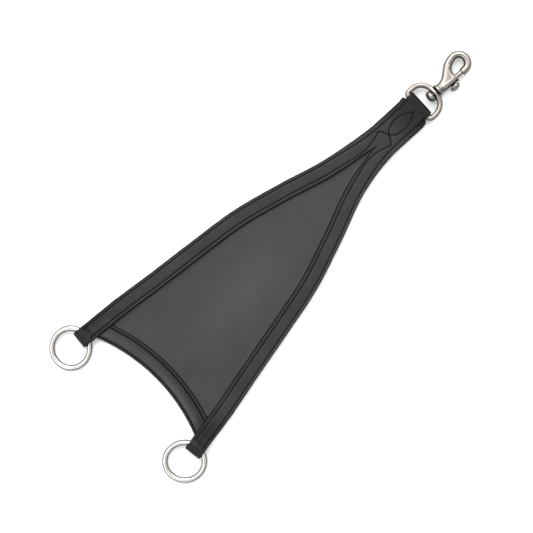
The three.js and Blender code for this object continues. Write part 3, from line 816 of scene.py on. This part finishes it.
# ---------------------------------------------------------------- the bib
def bib_panel():
    """The bib: its sides lie under the straps, its lower edge is an arc in the hem, and it sags between."""
    edge_radius = HEM_RADIUS + HEM_LEATHER + PIECE_GAP
    across = np.sin(np.linspace(-1, 1, 71) * math.pi / 2 * 0.999) / math.sin(math.pi / 2 * 0.999)
    low = HEM_CENTRE + edge_radius
    y_middle = np.linspace(low, PANEL_TOP, 150)
    f, v = np.meshgrid(across, np.linspace(0, 1, len(y_middle)))
    y = np.repeat(y_middle[:, None], len(across), 1)
    for _ in range(4):
        x = f * beside_strap(np.maximum(y, LEG_JOIN), STRAP_HALF - PANEL_INSET)[0]
        bow = edge_radius - np.sqrt(edge_radius**2 - np.minimum(np.abs(x), 78.0) ** 2)
        y = np.maximum(y_middle[:, None] - bow * (1 - v) ** 2, LEG_JOIN - 3)
    offset = (np.abs(x) - strap_middle(y)) * strap_direction(y)[1]
    open_face = 1 - smoothstep(offset, -STRAP_HALF - 4, -STRAP_HALF)
    radius = np.hypot(x, y - HEM_CENTRE)
    open_face *= smoothstep(radius, HEM_RADIUS + HEM_WIDTH, HEM_RADIUS + HEM_WIDTH + 5)
    sag = ripple(x, y, 120, 0.35) + ripple(x, y, 31, 0.08) - 0.35
    top = np.stack([x, y, PANEL_FACE + open_face * sag], -1)
    under = np.stack([x, y, PANEL_BOTTOM + open_face * np.maximum(sag, -0.5)], -1)
    # painted shadow: the panel is darkened along the straps' inner edges and the hem's upper edge, where
    # they lie over it, through its edge attribute
    shade = np.minimum(-STRAP_HALF - offset, radius - HEM_RADIUS - HEM_WIDTH) + 0.1
    edge = np.clip(np.tile(shade.ravel(), 2), 0, FAR)
    # painted highlight: a broad paler glow over the bib's middle
    highlight_glow = 0.4 * np.exp(-((x - 6) / 26) ** 2 - ((y - 165) / 75) ** 2)
    painted_highlight = np.tile(highlight_glow.ravel(), 2)
    plain = 0 * edge
    made = piece(
        "bib_leather",
        to_frame(np.concatenate([top, under]).reshape(-1, 3)),
        slab(top),
        PANEL,
        "bib",
        ["bib_panel"],
        attributes={"edge": edge, "seam": plain + FAR, "darkening": plain, "painted_highlight": painted_highlight},
    )


def tab_filler():
    """The tab's packing: flat between the straps, and a wedge where the front one climbs to the bar."""
    y = np.linspace(PANEL_TOP + PIECE_GAP, BAR_LINE - BAR_RUN, 60)
    x = np.linspace(-FILLER_HALF, FILLER_HALF, 24)
    grid = np.stack(np.meshgrid(x, y), -1)
    fuzz = ripple(grid[..., 0], grid[..., 1], 7, 0.04)
    climb = fold_height(TAB_FOLD, np.clip(BAR_LINE - grid[..., 1], 0, TAB_RISE)) - FRONT_FACE
    climb -= shoulder_drop(grid[..., 0], grid[..., 1])
    top = np.concatenate([grid, (PANEL_FACE - FILLER_SLACK + fuzz + 0.9 * climb)[..., None]], -1)
    under = np.concatenate([grid, (PANEL_BOTTOM + FILLER_SLACK + fuzz)[..., None]], -1)
    points = to_frame(np.concatenate([top, under]).reshape(-1, 3))
    piece("tab_stuffing", points, slab(top), RAW, "bib", ["tab_filler"])


# ---------------------------------------------------------------- the hem
HEM_TOP = HEM_RADIUS + HEM_WIDTH
ROLL_LOW = HEM_RADIUS + HEM_STITCH_OUT + 0.5
ROLL_HIGH = HEM_TOP - HEM_STITCH_IN - 0.5

# How far short of the strap's middle the hem's front, its turned-back layer and its roll end.
FRONT_END = -5.0
BACK_END = -9.6
CORE_END = -10.5
HEM_EDGE_ROUND = 1.3
HEM_BACK_ROUND = 1.0
HEM_BACK_TOP = HEM_TOP - 2.0


def hem_reach(radius, offset):
    """Angle at which an arc of the hem meets the line at that offset beside the right-hand strap."""
    low, high = np.full(np.shape(radius), 0.1), np.full(np.shape(radius), 0.6)
    for _ in range(30):
        middle = (low + high) / 2
        x, y = radius * np.sin(middle), HEM_CENTRE + radius * np.cos(middle)
        beyond = (x - strap_middle(y)) * strap_direction(y)[1] > offset
        high, low = np.where(beyond, middle, high), np.where(beyond, low, middle)
    return (low + high) / 2


def roll_height(radius):
    """The padded roll's rise above the flat hem, steep towards the free edge."""
    t = np.clip((radius - ROLL_LOW) / (ROLL_HIGH - ROLL_LOW), 0, 1)
    skewed = t**0.62
    return (HEM_CROWN - HEM_LEATHER) * np.sin(math.pi * skewed) ** 0.8


def hem_section():
    """(radius, height, how much of the roll it carries, offset beside the strap where it ends)."""
    front = np.concatenate([
        np.linspace(HEM_TOP, ROLL_HIGH, 14),
        np.linspace(ROLL_HIGH, ROLL_LOW, 40)[1:],
        np.linspace(ROLL_LOW, HEM_RADIUS + HEM_EDGE_ROUND, 8)[1:],
    ])
    section = [(r, HEM_FACE, 1.0, FRONT_END) for r in front]
    under = BACK_LEATHER - HEM_LEATHER
    centre = (HEM_RADIUS + HEM_EDGE_ROUND, HEM_FACE - HEM_EDGE_ROUND)
    edge = arc(centre, HEM_EDGE_ROUND, 90, 180, 7)[1:]
    drawn_in = (FRONT_END - BACK_END) / len(edge)
    section += [(r, z, 0.0, FRONT_END - drawn_in * (i + 1)) for i, (r, z) in enumerate(edge)]
    centre = (HEM_RADIUS + HEM_BACK_ROUND, under + HEM_BACK_ROUND)
    edge = arc(centre, HEM_BACK_ROUND, 180, 270, 6)
    section += [(r, z, 0.0, BACK_END) for r, z in edge]
    back = np.linspace(HEM_RADIUS + HEM_BACK_ROUND, HEM_BACK_TOP - 0.3, 12)[1:]
    section += [(r, under, 0.0, BACK_END) for r in back]
    section += [(HEM_BACK_TOP, under + 0.4, 0.0, BACK_END), (HEM_BACK_TOP, BACK_LEATHER, 0.0, BACK_END)]
    section += [(HEM_RADIUS + HEM_LEATHER, BACK_LEATHER, 0.0, BACK_END)]
    section += [(HEM_RADIUS + HEM_LEATHER, FRONT_BOTTOM, 0.0, FRONT_END)]
    inner = np.linspace(ROLL_LOW + 0.4, ROLL_HIGH - 0.4, 24)
    section += [(r, FRONT_BOTTOM, 0.92, FRONT_END) for r in inner]
    section += [(HEM_TOP - 0.1, FRONT_BOTTOM, 0.0, FRONT_END)]
    section += [(HEM_TOP, FRONT_BOTTOM + 0.3, 0.0, FRONT_END)]
    return np.array(section)


def hem_points(radius, height, carried, offset, share):
    """Layout points of the hem: share runs from -1 at the left strap to 1 at the right."""
    angle = share * hem_reach(radius, offset)
    x, y = radius * np.sin(angle), HEM_CENTRE + radius * np.cos(angle)
    beside = (np.abs(x) - strap_middle(y)) * strap_direction(y)[1]
    full = 1 - smoothstep(beside, -STRAP_HALF - 9, -STRAP_HALF + 0.5)
    seam = np.abs(radius - (HEM_TOP - HEM_STITCH_IN))
    pucker = 0.12 * np.exp(-((seam / 1.6) ** 2)) * ripple(angle * 190, radius, 7.7, 1.0)
    soft = ripple(angle * 190, radius, 31, 0.10)
    rise = roll_height(radius) * carried * full
    wrinkle = (pucker + soft) * np.clip(rise, 0, 1)
    return np.stack([x, y, height + rise + wrinkle], -1)


def hem_loft(section, count):
    """A section carried along the hem: the radius, height and layout point of everything on it."""
    share = np.linspace(-1, 1, count)
    radius, height, carried, offset = (np.tile(section[:, k], (count, 1)) for k in range(4))
    return radius, height, hem_points(radius, height, carried, offset, share[:, None])


def hem_faces(points):
    rows, columns = points.shape[:2]
    return grid_faces(rows, columns, closed_columns=True) + end_caps(rows * columns, columns)


def hem_facing():
    """The hem's leather, pulled in along its two seams and thin at its upper edge."""
    radius, height, points = hem_loft(hem_section(), 260)
    top = HEM_TOP - radius
    facing = height >= HEM_FACE - 0.01
    seam = np.abs(radius - (HEM_TOP - HEM_STITCH_IN))
    seam = np.minimum(seam, np.abs(radius - (HEM_RADIUS + HEM_STITCH_OUT)))
    seam = np.where(facing, seam, FAR)
    points[..., 2] -= pressed(seam, 0.45) + 0.35 * np.exp(-((top / 0.35) ** 2)) * facing
    # painted shadow where the hem runs under the straps, carried with the hem's own black edges in the edge
    # attribute
    strap = np.abs(points[..., 0]) - strap_middle(points[..., 1])
    strap = -STRAP_HALF - strap * strap_direction(points[..., 1])[1] + 0.55
    edge = np.where(facing, np.minimum(np.minimum(top, radius - HEM_RADIUS), strap), 0.6)
    edge = np.clip(edge, 0, FAR).ravel()
    # painted highlight low on the hem's roll, stronger to the right
    brighter = 0.65 + 0.6 * np.exp(-(((points[..., 0] - 30) / 26) ** 2))
    highlight_glow = brighter * np.exp(-(((radius - ROLL_LOW - 2.8) / 3.4) ** 2))
    # painted shade: the upper side of the hem's roll is darker than its lit lower side
    upper_roll = smoothstep(radius, ROLL_LOW + 4, ROLL_HIGH - 1)
    upper_roll *= 1 - smoothstep(radius, ROLL_HIGH, ROLL_HIGH + 1)
    roll_shade = 0.3 * upper_roll.ravel()
    made = piece(
        "hem_band",
        to_frame(points.reshape(-1, 3)),
        hem_faces(points),
        STRAP,
        "bib",
        ["hem_facing"],
        attributes={"edge": edge, "seam": seam.ravel(), "darkening": roll_shade, "painted_highlight": highlight_glow.ravel()},
    )


def hem_padding():
    """The roll that fills the hem."""
    low, high = ROLL_LOW + HEM_LEATHER, ROLL_HIGH - HEM_LEATHER
    crown = np.linspace(low, high, 20)
    base = np.linspace(high, low, 12)
    section = [(r, FRONT_BOTTOM + 0.05, 0.75, CORE_END) for r in crown]
    section += [(r, FRONT_BOTTOM, 0.0, CORE_END) for r in base]
    points = hem_loft(np.array(section), 90)[2]
    placed = to_frame(points.reshape(-1, 3))
    made = piece("hem_core", placed, hem_faces(points), RAW, "bib", ["hem_padding"])


# ---------------------------------------------------------------- stitching
def stitch_shape():
    """One stitch along X from 0 to 1, as (along, height, thickness) shares."""
    along = np.array([0.0, 0.06, 0.2, 0.5, 0.8, 0.94, 1.0])
    height = np.array([-0.9, -0.15, 0.35, 0.5, 0.35, -0.15, -0.9])
    girth = np.array([0.55, 0.85, 1.0, 1.05, 1.0, 0.85, 0.55])
    return along, height, girth


def stitches(line, up):
    """Points and faces of a row of stitches along a line of 3-D layout points, standing out along up."""
    length = np.concatenate([[0], np.cumsum(np.linalg.norm(np.diff(line, axis=0), axis=1))])
    count = max(1, int(length[-1] / STITCH_PITCH))
    pitch = length[-1] / count
    along, height, girth = stitch_shape()
    sides = 6
    turn = np.arange(sides) * 2 * math.pi / sides
    points, faces = [], []

    def at(distance):
        return np.stack([np.interp(distance, length, line[:, k]) for k in range(3)], -1)

    for i in range(count):
        here = i * pitch + pitch * (0.11 + 0.78 * along)
        middle, ahead = at(here), at(here + 0.2) - at(here - 0.2)
        ahead /= np.linalg.norm(ahead, axis=1)[:, None]
        across = np.cross(ahead, up)
        across /= np.linalg.norm(across, axis=1)[:, None]
        rise = np.cross(across, ahead)
        slant = 0.16 * (along - 0.5)
        middle = middle + rise * (height * THREAD_RADIUS)[:, None] + across * slant[:, None]
        base = len(points) * len(along) * sides
        ring = [
            middle + (across * math.cos(t) * 1.15 + rise * math.sin(t)) * (girth * THREAD_RADIUS)[:, None]
            for t in turn
        ]
        points.append(np.stack(ring, 1).reshape(-1, 3))
        faces += grid_faces(len(along), sides, base, closed_columns=True)
        faces += [tuple(base + k for k in range(sides))[::-1]]
        end = base + (len(along) - 1) * sides
        faces += [tuple(end + k for k in range(sides))]
    return np.concatenate(points), faces


def seam_piece(name, rows, replaced):
    """A seam: several rows of stitches as one piece."""
    points, faces = merged(stitches(line, np.array(up, float)) for line, up in rows)
    piece(name, to_frame(points), faces, THREAD, "bib", [replaced])


def on_front(line):
    """A seam line laid in its groove on the front."""
    x, y = line[:, 0], line[:, 1]
    return np.stack([x, y, front_height(np.abs(x), y) - GROOVE_DEPTH + 0.1], -1)


def flat_at(line, height):
    return np.stack([line[:, 0], line[:, 1], np.full(len(line), height)], -1)


def on_back(line):
    """The stretch of a seam line that shows on the back straps."""
    return flat_at(line[(line[:, 1] > LEG_JOIN + 1) & (line[:, 1] < TAB_END - 1)], BACK_STITCH_HEIGHT)


def hem_line(radius, offset):
    """An arc of the hem, from one strap to the other."""
    reach = float(hem_reach(np.array([radius]), offset)[0])
    angle = np.linspace(-reach, reach, 300)
    return np.stack([radius * np.sin(angle), HEM_CENTRE + radius * np.cos(angle)], -1)


UP, DOWN = (0, 0, 1), (0, 0, -1)


def seams():
    for side, name in ((-1, "left"), (1, "right")):
        outer = OUTER_SEAM * [side, 1]
        inner = INNER_SEAM * [side, 1]
        leaf = LEAF_SEAM * [side, 1]
        rows = [(on_front(outer), UP), (on_back(outer), DOWN)]
        seam_piece(f"{name}_outer_stitching", rows, f"outer_seam_{name}")
        rows = [(on_front(inner), UP), (on_front(leaf), UP), (on_back(inner), DOWN), (on_back(leaf), DOWN)]
        seam_piece(f"{name}_inner_stitching", rows, f"inner_seam_{name}")
    for name, radius in (("upper", HEM_TOP - HEM_STITCH_IN), ("lower", HEM_RADIUS + HEM_STITCH_OUT)):
        line = hem_line(radius, -STRAP_HALF - 0.6)
        under = BACK_LEATHER - HEM_LEATHER + 0.12
        rows = [(flat_at(line, HEM_FACE - 0.15), UP), (flat_at(line, under), DOWN)]
        seam_piece(f"hem_{name}_stitching", rows, f"hem_{name}_seam")


# ---------------------------------------------------------------- rings
RING_RADIUS = 19.5
RING_WIRE = 3.0
WELD_PLACE = 2.2
WELD_WIDTH = 0.05
WELD_SWELL = 0.035


def torus_grid(turns, sides, radius, wire):
    a = np.arange(turns) * 2 * math.pi / turns
    b = np.arange(sides) * 2 * math.pi / sides
    a, b = np.meshgrid(a, b, indexing="ij")
    out = radius + wire * np.cos(b)
    return np.stack([out * np.cos(a), out * np.sin(a), wire * np.sin(b)], -1)


def ring(name, side):
    """A welded ring, with the faint collar that its weld leaves."""
    joint = joints[f"{name}_swing"]
    hinge = Vector(joint["pos_m"]) / MM
    box_low, box_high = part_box(name)
    centre = (box_low + box_high) / 2 / MM
    out = (centre - hinge).normalized()
    across = Vector(joint["axis"]).normalized()
    normal = out.cross(across).normalized()
    turns, sides = 120, 28
    points = torus_grid(turns, sides, RING_RADIUS, RING_WIRE)
    angle = np.arctan2(points[..., 1], points[..., 0])
    weld = WELD_SWELL * np.exp(-(((angle + side * WELD_PLACE) / WELD_WIDTH) ** 2))
    core = points.copy()
    core[..., 2] = 0
    core *= (RING_RADIUS / np.linalg.norm(core, axis=-1))[..., None]
    points = core + (points - core) * (1 + weld)[..., None]
    axes = Matrix((out, across, normal)).transposed()
    placed = points.reshape(-1, 3) @ np.array(axes).T + np.array(centre)
    faces = grid_faces(turns, sides, closed_columns=True, closed_rows=True)
    made = piece(f"{name}_steel", placed * MM, faces, RING_METAL, name, [name])
    # painted shade down the ring's sides
    paint_side_shade(made, 0.6, 0.97)


# ---------------------------------------------------------------- the snap
SNAP_ORIGIN = Vector(joints["eye_swing"]["pos_m"]) / MM
STEM = Vector(joints["snap_swivel"]["axis"]).normalized()
SNAP_ACROSS = STEM.cross(Vector((0, 0, 1))).normalized()
SNAP_TURN = Matrix((SNAP_ACROSS, STEM, Vector((0, 0, 1)))).transposed()

EYE_WIRE = 2.75
EYE_HALF = 17.5
EYE_LENGTH = 21.25
EYE_CORNER = 3.0
EYE_SHOULDER = 14.3
EYE_SWELL_WIDTH = 4.6
EYE_SWELL_WIRE = 0.12
EYE_SWELL_HEIGHT = 0.62
BOSS_START = 18.25
RIVET_RADIUS = 2.4
COLLAR_START = 24.3
BORE_START = 28.4
BOLT_X = 2.35
BOLT_RADIUS = 2.4
BOLT_START = 39.2
BOLT_END = 57.3
BORE_RADIUS = BOLT_RADIUS + PIECE_GAP
MOUTH = 47.7
HOOK_X, HOOK_Y, HOOK_RADIUS = -5.9, 58.9, 8.93
HOOK_BAR = 3.93
TIP_END = 55.0
STUD_Y = 40.3
STUD_LIFT = math.radians(10)
STUD_SHANK = 2.0
STUD_HEAD = 5.6
BOLT_TRAVEL = joints["bolt_slide"]["range_m"][1] / MM
SHRINK = 0.12  # what melting the parts together takes off a bar's radius


def snap_mesh(name, points, faces):
    """A mesh from points in the snap's own frame: the eye's bar on X, the stem up Y."""
    placed = (np.asarray(points, float) @ np.array(SNAP_TURN).T + np.array(SNAP_ORIGIN)) * MM
    return cleaned(plain_mesh(name, placed, faces))


def snap_piece(name, mesh, body, replaced):
    made = finished(name, mesh, SNAP_METAL, body, replaced)
    # painted shade down the snap part's sides
    paint_side_shade(made, 0.4, 0.85)
    return made


def swept(centres, radii, sides, flatten=1.0, closed=False):
    """A round bar along points in the X-Y plane; flatten scales its height."""
    centres = np.asarray(centres, float)
    radii = np.broadcast_to(radii, len(centres))
    if closed:
        ahead = np.roll(centres, -1, 0) - np.roll(centres, 1, 0)
    else:
        ahead = np.gradient(centres, axis=0)
    ahead /= np.linalg.norm(ahead, axis=1)[:, None]
    across = np.stack([ahead[:, 1], -ahead[:, 0]], -1)
    turn = np.arange(sides) * 2 * math.pi / sides
    flat = centres[:, None] + across[:, None] * (radii[:, None] * np.cos(turn)[None])[..., None]
    high = radii[:, None] * np.sin(turn)[None] * np.broadcast_to(flatten, len(centres))[:, None]
    points = np.concatenate([flat, high[..., None]], -1).reshape(-1, 3)
    faces = grid_faces(len(centres), sides, closed_columns=True, closed_rows=closed)
    if not closed:
        faces += end_caps(len(points), sides)
    return points, faces


def turned(profile, sides, x=0.0):
    """A solid of revolution about the line at x along Y, from the (radius, y) points of its profile."""
    profile = np.asarray(profile, float)
    turn = np.arange(sides) * 2 * math.pi / sides
    radius, height = profile[:, :1], profile[:, 1:]
    points = np.stack([x + radius * np.cos(turn), height + 0 * turn, radius * np.sin(turn)], -1)
    points = points.reshape(-1, 3)
    faces = grid_faces(len(profile), sides, closed_columns=True) + end_caps(len(points), sides)
    return points, faces


def applied(made):
    """The object's mesh with its modifiers applied; the object is removed."""
    depsgraph = bpy.context.evaluated_depsgraph_get()
    mesh = bpy.data.meshes.new_from_object(made.evaluated_get(depsgraph))
    bpy.data.objects.remove(made)
    return mesh


def fused(name, parts, voxel, rounds, cuts):
    """Parts melted into one casting with soft joins, then drilled by the cuts."""
    made = linked(name, snap_mesh(name, *merged(parts)))
    remesh = made.modifiers.new("remesh", "REMESH")
    remesh.mode = "VOXEL"
    remesh.voxel_size = voxel * MM
    soften = made.modifiers.new("soften", "SMOOTH")
    soften.factor = 0.5
    soften.iterations = rounds
    made = linked(name, applied(made))
    tools = []
    for i, (points, faces) in enumerate(cuts):
        tool = linked(f"{name}_cut_{i}", snap_mesh(f"{name}_cut_{i}", points, faces))
        cut = made.modifiers.new(f"cut_{i}", "BOOLEAN")
        cut.operation = "DIFFERENCE"
        cut.solver = "EXACT"
        cut.object = tool
        tools.append(tool)
    mesh = applied(made)
    for tool in tools:
        bpy.data.objects.remove(tool)
    return mesh


def eye_path(count):
    """Evenly spaced points round the eye's wire: a straight bar, two corners and a round top."""
    straight = EYE_HALF - EYE_CORNER
    shoulder_x, shoulder_y = EYE_HALF - EYE_SHOULDER, EYE_LENGTH - EYE_SHOULDER
    right = np.vstack([
        [(0, 0)],
        arc((straight, EYE_CORNER), EYE_CORNER, -90, 0, 10),
        arc((shoulder_x, shoulder_y), EYE_SHOULDER, 0, 90, 24),
        [(0, EYE_LENGTH)],
    ])
    path = np.vstack([right, (right * [-1, 1])[::-1][1:-1]]) + [EYE_SET, 0]
    closed = np.vstack([path, path[:1]])
    length = np.concatenate([[0], np.cumsum(np.linalg.norm(np.diff(closed, axis=0), axis=1))])
    even = np.linspace(0, length[-1], count, endpoint=False)
    return np.stack([np.interp(even, length, closed[:, k]) for k in range(2)], -1)


def swivel_eye():
    """The loop, swollen upwards where the snap's rivet runs through it."""
    path = eye_path(200)
    top = smoothstep(path[:, 1], EYE_SHOULDER, EYE_SHOULDER + 3)
    swelling = top * np.exp(-((path[:, 0] / EYE_SWELL_WIDTH) ** 2))
    wire = EYE_WIRE + SHRINK + EYE_SWELL_WIRE * swelling
    loop = swept(path, wire, 24, 1 + EYE_SWELL_HEIGHT * swelling, closed=True)
    hole = RIVET_RADIUS + PIECE_GAP
    bore = turned([(hole, 10), (hole, 30)], 40)
    mesh = fused("swivel_eye_casting", [loop], voxel=0.3, rounds=4, cuts=[bore])
    snap_piece("swivel_eye_casting", mesh, "swivel", ["swivel_eye"])


def swivel_rivet():
    """The domed head inside the eye, and the shank up into the snap's collar."""
    seat = BOSS_START - PIECE_GAP
    dome = arc((0, 15.5), 1.0, 272, 360, 16) * [6.0, 3.8] + [0, 15.5 * (1 - 3.8)]
    profile = [*map(tuple, dome), (6.0, 16.2), (5.6, 17.1), (4.9, seat)]
    profile += [(RIVET_RADIUS, seat), (RIVET_RADIUS, 27.0), (2.2, 27.2)]
    made = snap_piece("rivet_head", snap_mesh("rivet_head", *turned(profile, 48)), "snap", ["swivel_rivet"])
    crisp = made.modifiers.new("crisp", "EDGE_SPLIT")
    crisp.split_angle = math.radians(50)


def hook_line():
    """The middle of the hook's bar, from the barrel round to the tip."""
    limb = [(0.2, 30), (-2.7, 37.9), (-7.7, 44.0), (-11.8, 49.0)]
    angles = np.radians(np.linspace(200, -8, 8))
    hook = np.stack([HOOK_X + HOOK_RADIUS * np.cos(angles), HOOK_Y + HOOK_RADIUS * np.sin(angles)], -1)
    return curve_through([*limb, *map(tuple, hook), (HOOK_X + HOOK_RADIUS, TIP_END)], 8)


def plate(outline, half):
    """A flat plate with the given outline, half thick to each side."""
    outline = np.asarray(outline, float)
    count = len(outline)
    points = np.concatenate([np.column_stack([outline, np.full(count, z)]) for z in (-half, half)])
    faces = [tuple(range(count)), tuple(range(2 * count - 1, count - 1, -1))]
    faces += [(i, (i + 1) % count, count + (i + 1) % count, count + i) for i in range(count)]
    return points, faces


def box_part(low, high):
    """A block between two corners."""
    x, y, z = zip(low, high)
    outline = [(x[0], y[0]), (x[1], y[0]), (x[1], y[1]), (x[0], y[1])]
    points, faces = plate(outline, 1.0)
    points[:, 2] = np.where(points[:, 2] < 0, z[0], z[1])
    return points, faces


def lifted(points):
    """Turned from the snap's X axis up to the thumb stud's direction, about the bolt's axis."""
    c, s = math.cos(STUD_LIFT), math.sin(STUD_LIFT)
    x, y, z = np.asarray(points, float).T
    return np.stack([BOLT_X + c * x - s * z, y, s * x + c * z], -1)


def snap_body():
    """The hook, the collar, the barrel with its lip, and the bridge and web between them, as one casting
    drilled for the rivet, the bolt and the stud's slot."""
    line = hook_line()
    t = np.linspace(0, 1, len(line))
    radii = SHRINK + HOOK_BAR + 0.6 * (1 - t) ** 4 - 0.3 * np.sin(math.pi * t) ** 6
    tip = np.clip((1 - t) / 0.03, 0, 1)
    hook = swept(line, radii * (0.88 + 0.12 * np.sqrt(tip)), 32, 0.82 + 0.18 * smoothstep(t, 0.22, 0.45))
    collar = [(6.1, COLLAR_START), (6.4, COLLAR_START + 0.3), (6.45, 25.9)]
    collar += [(6.2, 26.8), (5.2, 27.7), (5.0, 30)]
    middle = np.linspace(0, 1, 12)[:, None]
    barrel_line = (1 - middle) * [0.8, 27.0] + middle * [BOLT_X, MOUTH - 0.1]
    barrel = swept(barrel_line, SHRINK + np.linspace(5.1, 4.3, 12), 40, np.linspace(0.82, 0.85, 12))
    lip = [(4.4, MOUTH - 1.9), (4.85, MOUTH - 1.4), (4.95, MOUTH - 0.5), (4.5, MOUTH + 0.1)]
    throat = curve_through([(BOLT_X, 44.1), (-0.3, 44.1), (-3.9, 44.5), (-7.9, 46.1), (-11.2, 49.4)], 8)
    bridge = swept(throat, SHRINK + np.linspace(3.5, 3.6, len(throat)), 32)
    web = [(0.6, 30), (BOLT_X, 44), *map(tuple, throat[1:]), (-11.8, 49), (-7.7, 44), (-2.7, 37.9)]
    hole = RIVET_RADIUS + PIECE_GAP
    slot_half = STUD_SHANK + PIECE_GAP
    slot_start = (0, STUD_Y - BOLT_TRAVEL - slot_half, -slot_half)
    slot, slot_faces = box_part(slot_start, (12, STUD_Y + slot_half, slot_half))
    tip_hole = BOLT_END + PIECE_GAP
    cuts = [
        turned([(hole, COLLAR_START - 2), (hole, 27.6)], 40),
        turned([(BORE_RADIUS, BORE_START), (BORE_RADIUS, tip_hole)], 40, BOLT_X),
        (lifted(slot), slot_faces),
    ]
    solids = [hook, turned(collar, 48), barrel, turned(lip, 36, BOLT_X), bridge, plate(web, 3.8)]
    mesh = fused("snap_casting", solids, voxel=0.28, rounds=7, cuts=cuts)
    snap_piece("snap_casting", mesh, "snap", ["snap_body"])


def snap_bolt():
    profile = [(2.1, BOLT_START), (BOLT_RADIUS, BOLT_START + 0.3), (BOLT_RADIUS, BOLT_END - 1.0)]
    profile += [(2.25, BOLT_END - 0.5), (1.9, BOLT_END - 0.15), (1.2, BOLT_END)]
    snap_piece("bolt_pin", snap_mesh("bolt_pin", *turned(profile, 40, BOLT_X)), "bolt", ["snap_bolt"])


def thumb_stud():
    """The stud's profile is turned about Y and then laid along its own direction out of the slot."""
    profile = [(1.2, 1.0), (1.2, 2.5), (STUD_SHANK, 2.5), (STUD_SHANK, 5.6), (2.4, 5.9), (5.1, 5.9)]
    profile += [(5.45, 6.1), (STUD_HEAD, 6.5), (STUD_HEAD, 7.1), (5.4, 7.8), (4.8, 8.7)]
    profile += [(3.8, 9.5), (2.6, 10.0), (1.2, 10.25)]
    points, faces = turned([*profile, (0.1, 10.3)], 48)
    sideways = np.stack([points[:, 1], STUD_Y - points[:, 0], points[:, 2]], -1)
    snap_piece("thumb_piece", snap_mesh("thumb_piece", lifted(sideways), faces), "bolt", ["thumb_stud"])


def bolt_spring():
    """The coil between the bore's end and the bolt."""
    wire, turns, sides = 0.25, 5.0, 8
    start, end = BORE_START + PIECE_GAP + wire, BOLT_START - PIECE_GAP - wire
    coil = BORE_RADIUS - PIECE_GAP - wire - 0.1
    t = np.linspace(0, 1, 220)
    a = 2 * math.pi * turns * t
    out = np.stack([np.cos(a), 0 * a, np.sin(a)], -1)
    centre = out * coil + np.stack([0 * t + BOLT_X, start + (end - start) * t, 0 * t], -1)
    ahead = np.gradient(centre, axis=0)
    ahead /= np.linalg.norm(ahead, axis=1)[:, None]
    third = np.cross(ahead, out)
    turn = np.arange(sides) * 2 * math.pi / sides
    ring_points = [centre + wire * (out * math.cos(b) + third * math.sin(b)) for b in turn]
    points = np.stack(ring_points, 1).reshape(-1, 3)
    faces = grid_faces(len(t), sides, closed_columns=True) + end_caps(len(points), sides)
    mesh = snap_mesh("spring_coil", points, faces)
    made = finished("spring_coil", mesh, SPRING_METAL, "snap", ["bolt_spring"])
    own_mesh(made)


# ---------------------------------------------------------------- studio
CAMERA_TURN = math.radians(43.5)
CAMERA_AIM = (5.1, 196.1)  # layout point at the middle of the picture
VIEW_WIDTH = 533.0  # millimetres across the picture at the bib's face
LENS = 100.0
SENSOR = 36.0
FLOOR_HALF = 6.0
FLOOR_DROP = 0.0003


def camera():
    data = bpy.data.cameras.new("camera")
    data.lens = LENS
    data.sensor_width = SENSOR
    made = linked("camera", data)
    height = VIEW_WIDTH * LENS / SENSOR + PANEL_FACE
    x, y = CAMERA_AIM[0] - MID_ACROSS, CAMERA_AIM[1] - MID_LENGTH
    made.location = (x * MM, y * MM, height * MM)
    made.rotation_euler = (0, 0, CAMERA_TURN)
    bpy.context.scene.camera = made


def floor():
    corners = ((-1, -1), (1, -1), (1, 1), (-1, 1))
    points = [(x * FLOOR_HALF, y * FLOOR_HALF, -FLOOR_DROP) for x, y in corners]
    mesh = plain_mesh("floor", points, [(0, 1, 2, 3)])
    made = linked("floor", mesh)
    material, _, surface, _ = shader("pale_floor")
    surface.inputs["Base Color"].default_value = (0.96, 0.96, 0.96, 1)
    surface.inputs["Roughness"].default_value = 0.9
    surface.inputs["Specular IOR Level"].default_value = 0.1
    mesh.materials.append(material)


def softbox(name, where, size, power):
    """A round soft light aimed at the object."""
    data = bpy.data.lights.new(name, "AREA")
    data.shape = "DISK"
    data.size = size
    data.energy = power
    made = linked(name, data)
    made.location = where
    made.rotation_euler = (-Vector(where)).to_track_quat("-Z", "Y").to_euler()


def studio():
    """A pale tent: bright overhead but for the camera's own opening, dimmer low down and to the right."""
    world = bpy.data.worlds.new("studio")
    bpy.context.scene.world = world
    world.use_nodes = True
    tree = world.node_tree
    background = tree.nodes["Background"]
    where = tree.nodes.new("ShaderNodeTexCoord")
    split = tree.nodes.new("ShaderNodeSeparateXYZ")
    tree.links.new(where.outputs["Generated"], split.inputs["Vector"])
    ramp = tree.nodes.new("ShaderNodeValToRGB")
    stops = [(0.0, 0.35), (0.45, 0.15), (0.62, 0.95), (0.84, 0.95), (0.96, 0.3)]
    for place, level in stops[1:4]:
        ramp.color_ramp.elements.new(place)
    for element, (place, level) in zip(ramp.color_ramp.elements, stops):
        element.position = place
        element.color = (level, level, level, 1)
    tree.links.new(split.outputs["Z"], ramp.inputs["Fac"])
    tree.links.new(ramp.outputs["Color"], background.inputs["Color"])
    tree.links.new(mapped(tree, split.outputs["X"], -0.1, 0.55, 3.1, 1.3), background.inputs["Strength"])
    softbox("key", where=(-0.9, 0.9, 1.6), size=2.4, power=34)
    bpy.context.scene.view_settings.view_transform = "Standard"


camera()
studio()
floor()
front_yoke()
back_yoke()
bib_panel()
tab_filler()
hem_facing()
hem_padding()
seams()
ring("left_ring", -1)
ring("right_ring", 1)
swivel_eye()
swivel_rivet()
snap_body()
snap_bolt()
thumb_stud()
bolt_spring()
